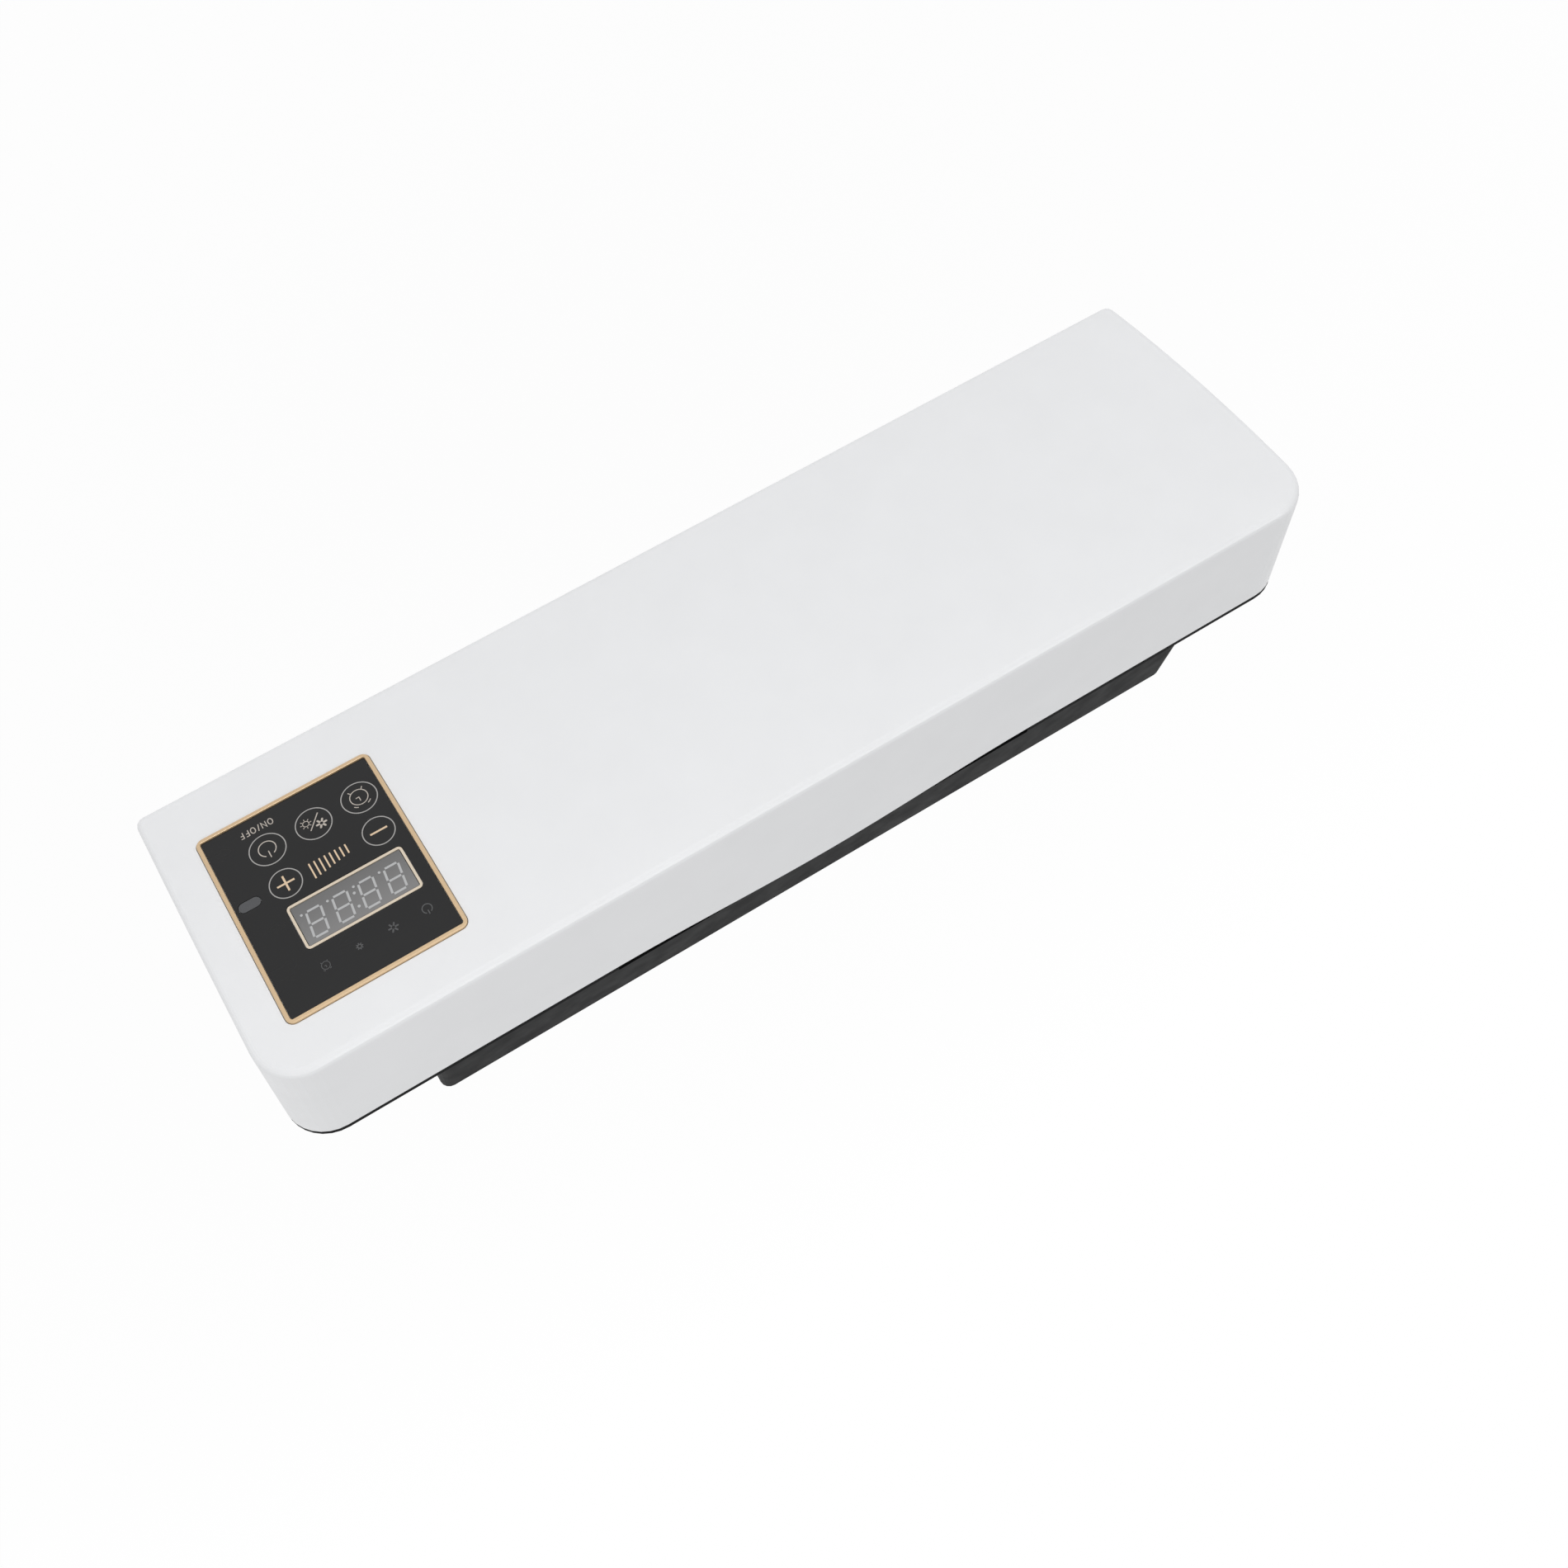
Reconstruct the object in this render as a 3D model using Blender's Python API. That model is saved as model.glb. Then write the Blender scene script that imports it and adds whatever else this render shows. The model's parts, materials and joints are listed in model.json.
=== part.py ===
"""Wall-hung boot dryer: a white moulded cover with a touch panel, a black rear case, a blower with
its heater, and an outlet manifold that carries four hollow swing-down boot arms.

Metres, +Z up. The origin is the centre of the bracket's face on the wall, the wall is the plane
Y = 0 and the front of the dryer looks along -Y, so +X is to the right as seen from the front."""

import math

import bmesh
import bpy
from mathutils import Vector

# Fits
GAP = 0.0003                 # clearance between neighbouring pieces
TINY = 0.0005                # smallest fillet, and how far cutters run past a face
OPEN = 0.03                  # how far a blank reaches into open space before it is trimmed

# Envelope
OVERALL_DEPTH = 0.120        # wall to the crown of the face
OVERALL_HEIGHT = 0.240       # top edge of the face to the manifold's nose
FACE_TOP_Z = 0.080           # top edge of the face above the origin

# Front cover
COVER_LENGTH = 0.550         # at the rim, its widest place
FACE_HEIGHT = 0.1570
COVER_DEPTH = 0.0709         # edge of the face to the rim
CROWN = 0.0045               # how far the face bulges between its long edges
END_FLARE = 0.0015           # each end wall leans out by this much towards the rim
TOP_DRAFT = 0.0064           # the top wall drops by this much towards the rim
TOP_CORNER_R = 0.0215
BOTTOM_CORNER_R = 0.0045
CREASE_R = 0.0035            # rounded edge between the face and the walls
COVER_WALL = 0.0025
RIM_BOW = 0.006              # the top wall's rear edge bows back by this much in its middle
RIM_BOW_LENGTH = 0.230
POST_R = 0.0042              # screw posts inside the cover
POST_END_INSET = 0.035       # their places, in from the cover's ends, top and bottom
POST_TOP_INSET = 0.017
POST_BOTTOM_INSET = 0.0116
POST_BORE = 0.014
RIB_PITCH = 0.075
RIB_WALL = 0.0015
RIB_HEIGHT = 0.006
RIB_TO_PANEL = 0.0354        # last rib to the panel's near edge

# Touch panel
PANEL_END_INSET = 0.0635     # cover's end to the panel's middle
PANEL_DROP = 0.0746          # face's top edge to the panel's middle
PANEL_WIDTH = 0.0857
PANEL_HEIGHT = 0.1046
PANEL_R = 0.0038
BEZEL_WIDTH = 0.0020
BEZEL_INNER_R = 0.0012
BEZEL_RISE = 0.0009            # the bezel stands this far proud of the face
BEZEL_EDGE_R = 0.0006          # rounding of its outer edge
BEZEL_BREAK = 0.0002           # chamfer of its inner edge
PANEL_RECESS = 0.0022        # depth of the cover's pocket for the panel
PANEL_SEAT = 0.0022          # thickness of the pocket's floor
SEAT_SAG = 0.0024            # the flat rear of the seat lies this much deeper than the crown needs
DISPLAY_SHIFT = -0.0065      # panel's middle to the display's middle, along X and Z
DISPLAY_LIFT = 0.0134
DISPLAY_WIDTH = 0.0558
DISPLAY_HEIGHT = 0.0236
DISPLAY_R = 0.0020
DISPLAY_BORDER = 0.0012
WINDOW_WALL = 0.0012         # thickness of the display window
IR_SHIFT = 0.0338            # panel's middle to the infra-red window's middle, along X and Z
IR_LIFT = -0.0088
IR_WIDTH = 0.0103
IR_HEIGHT = 0.0050
RECEIVER_R = 0.0014
RECEIVER_HALF = 0.0016
BOARD_THICKNESS = 0.0016
BOARD_MARGIN = 0.006         # the touch board stays this far inside the panel's outline
BOARD_R = 0.002
DIGITS = 4

# Rear case
FLANGE = 0.0025
FLANGE_INSET = 0.0001        # the flange's edge lies this far inside the cover's rim
LIP_HEIGHT = 0.006
LIP_WALL = 0.0015
BLOCK_END_INSET = 0.066      # cover's end to the block's end
BLOCK_DROP = 0.0109          # the block's top slopes down by this much towards the wall
BLOCK_R = 0.005
BLOCK_REAR_R = 0.0035
BLOCK_INNER_R = 0.003
BLOCK_LIFT = 0.0003          # cover's lower edge to the block's lower side
CASE_WALL = 0.0025
CASE_TOP_WALL = 0.0052       # thicker, because the cover's bowed edge is let into it
CASE_REAR_WALL = 0.0042
WALL_GAP = 0.0005            # the case stands off the wall on its bracket and pads

# Air path
OUTLET_END_INSET = 0.017     # manifold's end to the outlet's end
OUTLET_FRONT_INSET = 0.0038  # flange to the outlet
OUTLET_REAR_INSET = 0.0075   # the case's rear to the outlet
GASKET = 0.0015
GASKET_RIM = 0.0025          # width of the gasket's long sides
GASKET_END = 0.012           # width of the gasket's ends
INTAKE_MARGIN = 0.011        # intake opening to the block's end and to the cover's end
INTAKE_SHIFT = -0.002        # and how far it is moved towards the block
INTAKE_HEIGHT = 0.092
INTAKE_DROP = 0.003          # below the face's middle
INTAKE_R = 0.003
INTAKE_SLOT = 0.003
INTAKE_PITCH = 0.006
INTAKE_BORDER = 0.003        # solid edge round the slots
INTAKE_LIP = 0.0022
INTAKE_LIP_WALL = 0.0015
FILTER = 0.005

# Outlet manifold and boot arms
MANIFOLD_END_INSET = 0.004   # block's end to the manifold's end
MANIFOLD_NOSE = 0.0007       # flat at the lowest corner, next to the wall
MANIFOLD_WALL = 0.0025
SLANT_LIFT = 0.001           # the slanted underside starts this far above the hinge
DUCT_LIFT = 0.0178           # hinge to the duct's floor
ARM_COUNT = 4
ARM_END_INSET = 0.0475       # manifold's end to the middle of the outermost arm
PIVOT_TO_CASE = 0.0150       # manifold's rear face to the hinge
PIVOT_DROP = 0.0533          # cover's lower edge to the hinge
DRUM_R = 0.0140
DRUM_WALL = 0.0022
ARM_WIDTH = 0.035            # along the hinge axis
ARM_ROOT_THICKNESS = 0.022
ARM_TIP_THICKNESS = 0.018
ARM_TIP_WIDTH = 0.031
ARM_REACH = 0.070            # pivot to mouth
ARM_WALL = 0.0020
ARM_STOW_DEG = 36.7          # above the horizontal, at rest
ARM_SWING_DEG = 32.0         # from rest down to the working position
ARM_LIP = 0.0018             # collar round the mouth that keeps a boot on the arm
ARM_LIP_HALF = 0.004         # half the collar's length
ARM_SLOTS = 4
ARM_SLOT_START = 0.014       # mouth to the first side slot
ARM_SLOT_PITCH = 0.007
ARM_SLOT_WIDTH = 0.019
WASHER = 0.0010
WASHER_R = 0.0085
ROD_R = 0.0025
PORT_WIDTH = 0.024           # air port between the duct and a drum
PORT_WINDOW_DEG = (40.0, 100.0)
POCKET_MAX = 0.030           # a wider hollow between two bays gets a rib in its middle
GRILLE_DEPTH = 0.003
GRILLE_SET_BACK = 0.001
GRILLE_SLOT = 0.0024
GRILLE_PITCH = 0.0048
GRILLE_BORDER = 0.002

# Blower and heater
BLOWER_X = 0.0
BLOWER_DROP = 0.074          # face's top edge to the blower's axis
IMPELLER_R = 0.040
IMPELLER_WIDTH = 0.024
IMPELLER_EYE_R = 0.031
IMPELLER_DISC = 0.0012
IMPELLER_CLEARANCE = 0.0025  # impeller to the scroll's rear wall
BLADE_COUNT = 24
BLADE_WALL = 0.0009
BLADE_LEAN = 0.16            # radians by which a blade curves forward
CUP_DEPTH = 0.016
CUP_WALL = 0.0014
HUB_R = 0.0195
SHAFT_R = 0.002
SHAFT_REACH = 0.003
MOTOR_FOOT = 0.002
MOTOR_FOOT_R = 0.0136
SCROLL_WALL = 0.0018
SCROLL_START_R = 0.0440
SCROLL_GROWTH = 0.0180       # how much the scroll widens over its turn
SCROLL_STAND_OFF = 0.0035    # the case's rear wall to the scroll
SCROLL_DEPTH = 0.0310
FLARE_WALL = 0.004
FLARE_HEIGHT = 0.003
THROAT_WIDTH = 0.056
HEATER_LIFT = 0.0213         # block's lower side to the middle of the heater
HEATER_HEIGHT = 0.016
HEATER_FRAME_WALL = 0.0018
HEATER_BAR = 0.003
FIN_PITCH = 0.0034
FIN_WALL = 0.0008
CUTOUT_R = 0.007
CUTOUT_HEIGHT = 0.006
CUTOUT_EARS = (0.024, 0.001, 0.006)

# Power board
POWER_BOARD_END_INSET = 0.013
POWER_BOARD_LENGTH = 0.098
POWER_BOARD_HEIGHT = 0.086
POWER_BOARD_DROP = 0.085     # face's top edge to the board's middle
POWER_BOARD_HOLE_INSET = 0.006
STANDOFF_R = 0.0032
STANDOFF_HEIGHT = 0.0094
# Parts on it: place from the board's lower left corner, size along X and Z, height
TRANSFORMER = (0.014, 0.040, 0.028, 0.026, 0.020)
RELAY = (0.054, 0.044, 0.020, 0.016, 0.015)
TERMINAL_BLOCK = (0.016, 0.010, 0.036, 0.012, 0.010)
CAPACITOR_R = 0.0065
CAPACITOR_HEIGHT = 0.018
CAPACITOR_END_INSET = 0.014
CAPACITOR_LIFT = 0.018
CAPACITOR_PITCH = 0.020

# Wall fixing
BRACKET_LENGTH = 0.300
BRACKET_HEIGHT = 0.060
BRACKET_SHEET = 0.0015
BRACKET_R = 0.004
BRACKET_HOLE_R = 0.0026
BRACKET_HOLE_INSET = 0.030
HOOK_INSET = 0.060           # bracket's end to the middle of a hook
HOOK_WIDTH = 0.020
HOOK_REACH = 0.0062
HOOK_DROP = 0.004            # bracket's top edge to the hook
HOOK_SLOT = (0.014, 0.002)   # the case's slot below the bracket's top edge
PAD_LENGTH = 0.060
PAD_HEIGHT = 0.012
PAD = 0.0030
PAD_INSET = 0.004            # below the manifold's top edge

# Fasteners
SCREW_R = 0.0015
SCREW_HEAD_R = 0.0030
SCREW_HEAD = 0.0018
BOARD_SCREW_BITE = 0.0014
COVER_SCREW_BITE = 0.010
GLAND_R = 0.0060
GLAND_STEP = 0.001           # the gland's neck is this much smaller than its flange
GLAND_BORE_R = 0.0034
GLAND_FLANGE = 0.0025
GLAND_NECK = 0.002           # how far the neck reaches past the case's wall
GLAND_SET_BACK = 0.0118      # flange to the gland's axis
GLAND_DROP = 0.025           # face's top edge to the gland's axis

# Derived places
FACE_BOTTOM_Z = FACE_TOP_Z - FACE_HEIGHT
FACE_MIDDLE_Z = FACE_TOP_Z - FACE_HEIGHT / 2
FACE_Y = -(OVERALL_DEPTH - CROWN)
RIM_Y = FACE_Y + COVER_DEPTH
RIM_TOP_Z = FACE_TOP_Z - TOP_DRAFT
POST_X = COVER_LENGTH / 2 - POST_END_INSET
POST_PLACES = [(x, z) for x in (-POST_X, POST_X)
               for z in (FACE_TOP_Z - POST_TOP_INSET, FACE_BOTTOM_Z + POST_BOTTOM_INSET)]
PANEL_X = COVER_LENGTH / 2 - PANEL_END_INSET
PANEL_Z = FACE_TOP_Z - PANEL_DROP
RIB_X = (-2 * RIB_PITCH, -RIB_PITCH, RIB_PITCH, PANEL_X - PANEL_WIDTH / 2 - RIB_TO_PANEL)
DISPLAY_X = PANEL_X + DISPLAY_SHIFT
DISPLAY_Z = PANEL_Z + DISPLAY_LIFT
IR_X = PANEL_X + IR_SHIFT
IR_Z = PANEL_Z + IR_LIFT
SEAT_Y = -OVERALL_DEPTH + PANEL_RECESS + PANEL_SEAT + SEAT_SAG
BOARD_FRONT_Y = SEAT_Y + GAP
FLANGE_FRONT_Y = RIM_Y + GAP
FLANGE_REAR_Y = FLANGE_FRONT_Y + FLANGE
BLOCK_LENGTH = COVER_LENGTH - 2 * BLOCK_END_INSET
BLOCK_TOP_Z = RIM_TOP_Z - FLANGE_INSET
BLOCK_BOTTOM_Z = FACE_BOTTOM_Z + BLOCK_LIFT
CASE_REAR_INNER_Y = -WALL_GAP - CASE_REAR_WALL
GLAND_Y = FLANGE_REAR_Y + GLAND_SET_BACK
GLAND_Z = FACE_TOP_Z - GLAND_DROP
INTAKE_X = COVER_LENGTH / 2 - BLOCK_END_INSET / 2 + INTAKE_SHIFT
INTAKE_WIDTH = BLOCK_END_INSET - 2 * INTAKE_MARGIN
INTAKE_Z = FACE_MIDDLE_Z - INTAKE_DROP
NOSE_Z = FACE_TOP_Z - OVERALL_HEIGHT
MANIFOLD_LENGTH = BLOCK_LENGTH - 2 * MANIFOLD_END_INSET
MANIFOLD_FRONT_Y = FLANGE_REAR_Y + GAP
MANIFOLD_TOP_Z = BLOCK_BOTTOM_Z - GASKET - 2 * GAP
OUTLET_LENGTH = MANIFOLD_LENGTH - 2 * OUTLET_END_INSET
OUTLET_FRONT_Y = FLANGE_REAR_Y + OUTLET_FRONT_INSET
OUTLET_REAR_Y = -WALL_GAP - OUTLET_REAR_INSET
PIVOT_Y = -WALL_GAP - PIVOT_TO_CASE
PIVOT_Z = FACE_BOTTOM_Z - PIVOT_DROP
MANIFOLD_CHAMFER_Z = PIVOT_Z + SLANT_LIFT
DUCT_FLOOR_Z = PIVOT_Z + DUCT_LIFT
ARM_PITCH = (MANIFOLD_LENGTH - 2 * ARM_END_INSET) / (ARM_COUNT - 1)
ARM_XS = [ARM_PITCH * (i - (ARM_COUNT - 1) / 2) for i in range(ARM_COUNT)]
BAY_HALF = ARM_WIDTH / 2 + WASHER + 2 * GAP
BLOWER_Z = FACE_TOP_Z - BLOWER_DROP
SCROLL_REAR_Y = CASE_REAR_INNER_Y - SCROLL_STAND_OFF
SCROLL_FRONT_Y = SCROLL_REAR_Y - SCROLL_DEPTH
HEATER_Z = BLOCK_BOTTOM_Z + HEATER_LIFT
POWER_BOARD_LEFT = -BLOCK_LENGTH / 2 + POWER_BOARD_END_INSET
POWER_BOARD_X = (POWER_BOARD_LEFT, POWER_BOARD_LEFT + POWER_BOARD_LENGTH)
POWER_BOARD_MIDDLE_Z = FACE_TOP_Z - POWER_BOARD_DROP
POWER_BOARD_Z = (POWER_BOARD_MIDDLE_Z - POWER_BOARD_HEIGHT / 2,
                 POWER_BOARD_MIDDLE_Z + POWER_BOARD_HEIGHT / 2)
POWER_BOARD_Y = CASE_REAR_INNER_Y - STANDOFF_HEIGHT - GAP - BOARD_THICKNESS
BRACKET_HOLE_X = BRACKET_LENGTH / 2 - BRACKET_HOLE_INSET
HOOK_X = BRACKET_LENGTH / 2 - HOOK_INSET


# ---------------------------------------------------------------- outlines

def arc(centre, radius, start, end, steps):
    """Points on an arc, angles in degrees, both ends included."""
    turns = [math.radians(start + (end - start) * i / steps) for i in range(steps + 1)]
    return [(centre[0] + radius * math.cos(a), centre[1] + radius * math.sin(a)) for a in turns]


def circle(centre, radius, segments=24):
    """Points on a full circle, without repeating the first one."""
    return arc(centre, radius, 0, 360, segments)[:-1]


def rounded_rectangle(centre, width, height, radius, steps=4):
    """Closed outline of a rectangle with four equal round corners."""
    dx = width / 2 - radius
    dz = height / 2 - radius
    corners = ((dx, dz, 0), (-dx, dz, 90), (-dx, -dz, 180), (dx, -dz, 270))
    points = []
    for x, z, turn in corners:
        points += arc((centre[0] + x, centre[1] + z), radius, turn, turn + 90, steps)
    return points


def crown_y(z, inwards=0.0):
    """Depth of the crowned face at height z, moved inwards from its outer surface."""
    share = (z - FACE_MIDDLE_Z) / (FACE_HEIGHT / 2)
    return FACE_Y - CROWN * (1 - share * share) + inwards


def cover_outline(depth_share, inset, corner_steps=8, end_steps=12):
    """Right half of the cover's outline, top to bottom, at a share of its depth."""
    half = COVER_LENGTH / 2 - END_FLARE * (1 - depth_share) - inset
    top = FACE_TOP_Z - TOP_DRAFT * depth_share - inset
    bottom = FACE_BOTTOM_Z + inset
    top_r = max(TOP_CORNER_R - inset, TINY)
    bottom_r = max(BOTTOM_CORNER_R - inset, TINY)
    points = arc((half - top_r, top - top_r), top_r, 90, 0, corner_steps)
    upper = top - top_r
    lower = bottom + bottom_r
    points += [(half, upper + (lower - upper) * i / end_steps) for i in range(1, end_steps)]
    points += arc((half - bottom_r, lower), bottom_r, 0, -90, 3)
    return points


# ---------------------------------------------------------------- solids

def solid(name, vertices, faces):
    """Object from vertices and faces, with its normals turned outwards."""
    mesh = bpy.data.meshes.new(name)
    mesh.from_pydata(vertices, [], faces)
    work = bmesh.new()
    work.from_mesh(mesh)
    bmesh.ops.recalc_face_normals(work, faces=work.faces)
    work.to_mesh(mesh)
    work.free()
    item = bpy.data.objects.new(name, mesh)
    bpy.context.scene.collection.objects.link(item)
    return item


def on_axis(axis, pair, along):
    """Point whose coordinate on the axis is along, and whose two others are the pair."""
    a, b = pair
    return {"X": (along, a, b), "Y": (a, along, b), "Z": (a, b, along)}[axis]


def prism(name, outline, axis, start, end):
    """Closed outline extruded along an axis."""
    count = len(outline)
    vertices = [on_axis(axis, p, start) for p in outline] + [on_axis(axis, p, end) for p in outline]
    faces = [[i, (i + 1) % count, count + (i + 1) % count, count + i] for i in range(count)]
    faces += [list(range(count)), list(range(count, 2 * count))]
    return solid(name, vertices, faces)


def ring(name, loops):
    """Ring-shaped solid through loops of equally many points; the last loop meets the first."""
    count = len(loops[0])
    vertices = [p for loop in loops for p in loop]
    faces = []
    for level in range(len(loops)):
        low = level * count
        high = (level + 1) % len(loops) * count
        faces += [[low + i, low + (i + 1) % count, high + (i + 1) % count, high + i] for i in range(count)]
    return solid(name, vertices, faces)


def tube(name, outer, inner, axis, start, end):
    """Prism with a hole right through; both outlines have as many points."""
    loops = [(outer, start), (outer, end), (inner, end), (inner, start)]
    return ring(name, [[on_axis(axis, p, along) for p in outline] for outline, along in loops])


def loft(name, loops):
    """Solid through loops of equally many points, closed by flat ends."""
    count = len(loops[0])
    vertices = [p for loop in loops for p in loop]
    faces = []
    for level in range(len(loops) - 1):
        low = level * count
        faces += [[low + i, low + (i + 1) % count, low + count + (i + 1) % count, low + count + i]
                  for i in range(count)]
    faces += [list(range(count)), list(range(len(vertices) - count, len(vertices)))]
    return solid(name, vertices, faces)


def box(name, xs, ys, zs):
    """Block between two coordinates on each axis."""
    outline = [(xs[0], ys[0]), (xs[1], ys[0]), (xs[1], ys[1]), (xs[0], ys[1])]
    return prism(name, outline, "Z", zs[0], zs[1])


def cylinder(name, axis, centre, radius, start, end, segments=24):
    """Round bar along an axis; centre is the pair of its two other coordinates."""
    return prism(name, circle(centre, radius, segments), axis, start, end)


def bake(item):
    """Turn the object's evaluated mesh into its own mesh."""
    bpy.context.view_layer.update()
    shaped = item.evaluated_get(bpy.context.evaluated_depsgraph_get())
    mesh = bpy.data.meshes.new_from_object(shaped)
    item.modifiers.clear()
    item.data = mesh


def boolean(target, other, operation):
    """Combine two solids and delete the second one."""
    modifier = target.modifiers.new(operation, "BOOLEAN")
    modifier.operation = operation
    modifier.solver = "EXACT"
    modifier.object = other
    bake(target)
    bpy.data.objects.remove(other)
    return target


def cut(target, *cutters):
    """Take the cutters away from the target."""
    for cutter in cutters:
        boolean(target, cutter, "DIFFERENCE")
    return target


def join(target, *others):
    """Fuse the others into the target."""
    for other in others:
        boolean(target, other, "UNION")
    return target


def merge_meshes(name, items):
    """One cutter, or one addition, made of several separate bodies."""
    work = bmesh.new()
    for item in items:
        work.from_mesh(item.data)
        bpy.data.objects.remove(item)
    mesh = bpy.data.meshes.new(name)
    work.to_mesh(mesh)
    work.free()
    merged = bpy.data.objects.new(name, mesh)
    bpy.context.scene.collection.objects.link(merged)
    return merged


def crown_slab(name, outer, inner, margin=OPEN / 3):
    """Curved slab that follows the crown, between two depths below the face."""
    steps = 24
    low = FACE_BOTTOM_Z - margin
    high = FACE_TOP_Z + margin
    heights = [low + (high - low) * i / steps for i in range(steps + 1)]
    outline = [(crown_y(z, outer), z) for z in heights]
    outline += [(crown_y(z, inner), z) for z in reversed(heights)]
    reach = COVER_LENGTH / 2 + margin
    return prism(name, outline, "X", -reach, reach)


def crowned(name, outline, outer, inner):
    """Prism through the face that follows the crown on both its sides."""
    blank = prism(name, outline, "Y", -OVERALL_DEPTH - OPEN, FACE_Y + OPEN)
    return boolean(blank, crown_slab(name + "_slab", outer, inner), "INTERSECT")


# ---------------------------------------------------------------- materials

MATERIALS = {
    "white_plastic": ((0.83, 0.84, 0.86), 0.38, 0.0),
    "black_plastic": ((0.024, 0.025, 0.026), 0.45, 0.0),
    "panel_black": ((0.017, 0.017, 0.018), 0.22, 0.0),
    "gold": ((0.74, 0.53, 0.32), 0.35, 0.6),
    "window_grey": ((0.22, 0.22, 0.23), 0.20, 0.0),
    "ir_lens": ((0.10, 0.09, 0.10), 0.15, 0.0),
    "circuit_green": ((0.05, 0.22, 0.11), 0.50, 0.0),
    "component_dark": ((0.06, 0.06, 0.07), 0.50, 0.0),
    "steel": ((0.60, 0.61, 0.62), 0.30, 1.0),
    "aluminium": ((0.78, 0.79, 0.80), 0.35, 1.0),
    "heat_white": ((0.80, 0.77, 0.70), 0.60, 0.0),
    "rubber": ((0.030, 0.030, 0.032), 0.80, 0.0),
    "filter_foam": ((0.12, 0.12, 0.13), 0.95, 0.0),
    "grey_plastic": ((0.32, 0.33, 0.34), 0.50, 0.0),
}


def material(name):
    """Principled material by name, made once."""
    found = bpy.data.materials.get(name)
    if found:
        return found
    colour, roughness, metallic = MATERIALS[name]
    made = bpy.data.materials.new(name)
    made.use_nodes = True
    shader = made.node_tree.nodes["Principled BSDF"]
    shader.inputs["Base Color"].default_value = (*colour, 1.0)
    shader.inputs["Roughness"].default_value = roughness
    shader.inputs["Metallic"].default_value = metallic
    return made


def dress(item, material_name, sharp_deg=30.0):
    """Give the object its material and smooth shading with sharp edges."""
    item.data.materials.clear()
    item.data.materials.append(material(material_name))
    item.data.shade_smooth()
    item.data.set_sharp_from_angle(angle=math.radians(sharp_deg))
    return item


# ---------------------------------------------------------------- front cover

def mirrored_loop(half, y_of):
    """Full loop from the right half of an outline; y_of gives the depth at a height."""
    right = [(x, y_of(z), z) for x, z in half]
    left = [(-x, y, z) for x, y, z in reversed(right)]
    return right + left


def cover_skin(inset, fillet_r, fillet_steps):
    """Loops of one skin of the cover, from its rim to the edge of its face."""
    loops = [mirrored_loop(cover_outline(1.0, inset), lambda z: RIM_Y)]
    for step in range(fillet_steps + 1):
        turn = math.pi / 2 * step / fillet_steps
        half = cover_outline(0.0, inset + fillet_r * (1 - math.cos(turn)))
        drop = inset + fillet_r * (1 - math.sin(turn))
        loops.append(mirrored_loop(half, lambda z, drop=drop: crown_y(z, drop)))
    return loops


def bow_points(rim, crease, steps=18):
    """Points of the bowed middle of the rim's top edge, in the plane of the top wall."""
    slope = (crease[2] - rim[2]) / (crease[1] - rim[1])
    points = []
    for i in range(steps + 1):
        x = RIM_BOW_LENGTH * (i / steps - 0.5)
        bow = RIM_BOW * math.cos(math.pi * x / RIM_BOW_LENGTH) ** 2
        points.append((x, rim[1] + bow, rim[2] + slope * bow))
    return points


def bridge(low, high, count, closing=True):
    """Quads between two loops of count points; closing adds the quad across their ends."""
    last = count if closing else count - 1
    return [[low + i, low + (i + 1) % count, high + (i + 1) % count, high + i] for i in range(last)]


def face_strips(first, count):
    """Faces that close a loop, as strips between its right and left halves."""
    right = [first + i for i in range(count // 2)]
    left = [first + count - 1 - i for i in range(count // 2)]
    return [[right[i], right[i + 1], left[i + 1], left[i]] for i in range(count // 2 - 1)]


def cover_shell():
    """The bare moulded shell: outer skin, rim with its bow, and inner skin."""
    outer = cover_skin(0.0, CREASE_R, 5)
    inner = cover_skin(COVER_WALL, CREASE_R - COVER_WALL, 2)
    loops = list(reversed(outer)) + inner
    count = len(loops[0])
    vertices = [p for loop in loops for p in loop]
    outer_rim = (len(outer) - 1) * count
    inner_rim = outer_rim + count
    faces = []
    for low in range(0, len(vertices) - count, count):
        at_rim = low in (outer_rim - count, outer_rim, inner_rim)
        faces += bridge(low, low + count, count, closing=not at_rim)
    rows = []
    for rim, crease in ((outer_rim, outer_rim - count), (inner_rim, inner_rim + count)):
        bow = bow_points(vertices[rim], vertices[crease])
        first = len(vertices)
        vertices += bow
        row = [rim + count - 1] + list(range(first, first + len(bow))) + [rim]
        faces.append(row + [crease, crease + count - 1])
        rows.append(row)
    faces += [[a, b, d, c] for a, b, c, d in zip(rows[0], rows[0][1:], rows[1], rows[1][1:])]
    faces += face_strips(0, count)
    faces += face_strips(outer_rim + len(inner) * count, count)
    return solid("front_cover", vertices, faces)


def panel_outline(grow=0.0):
    """Outline of the touch panel's bezel, made larger by grow all round."""
    return rounded_rectangle((PANEL_X, PANEL_Z), PANEL_WIDTH + 2 * grow, PANEL_HEIGHT + 2 * grow,
                             PANEL_R + grow, 5)


def display_outline(grow=0.0):
    """Outline of the display frame, made larger by grow all round."""
    return rounded_rectangle((DISPLAY_X, DISPLAY_Z), DISPLAY_WIDTH + 2 * grow,
                             DISPLAY_HEIGHT + 2 * grow, max(DISPLAY_R + grow, TINY), 4)


def ir_outline(grow=0.0):
    """Stadium outline of the infra-red window."""
    return rounded_rectangle((IR_X, IR_Z), IR_WIDTH + 2 * grow, IR_HEIGHT + 2 * grow,
                             IR_HEIGHT / 2 + grow - TINY / 10, 5)


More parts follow.
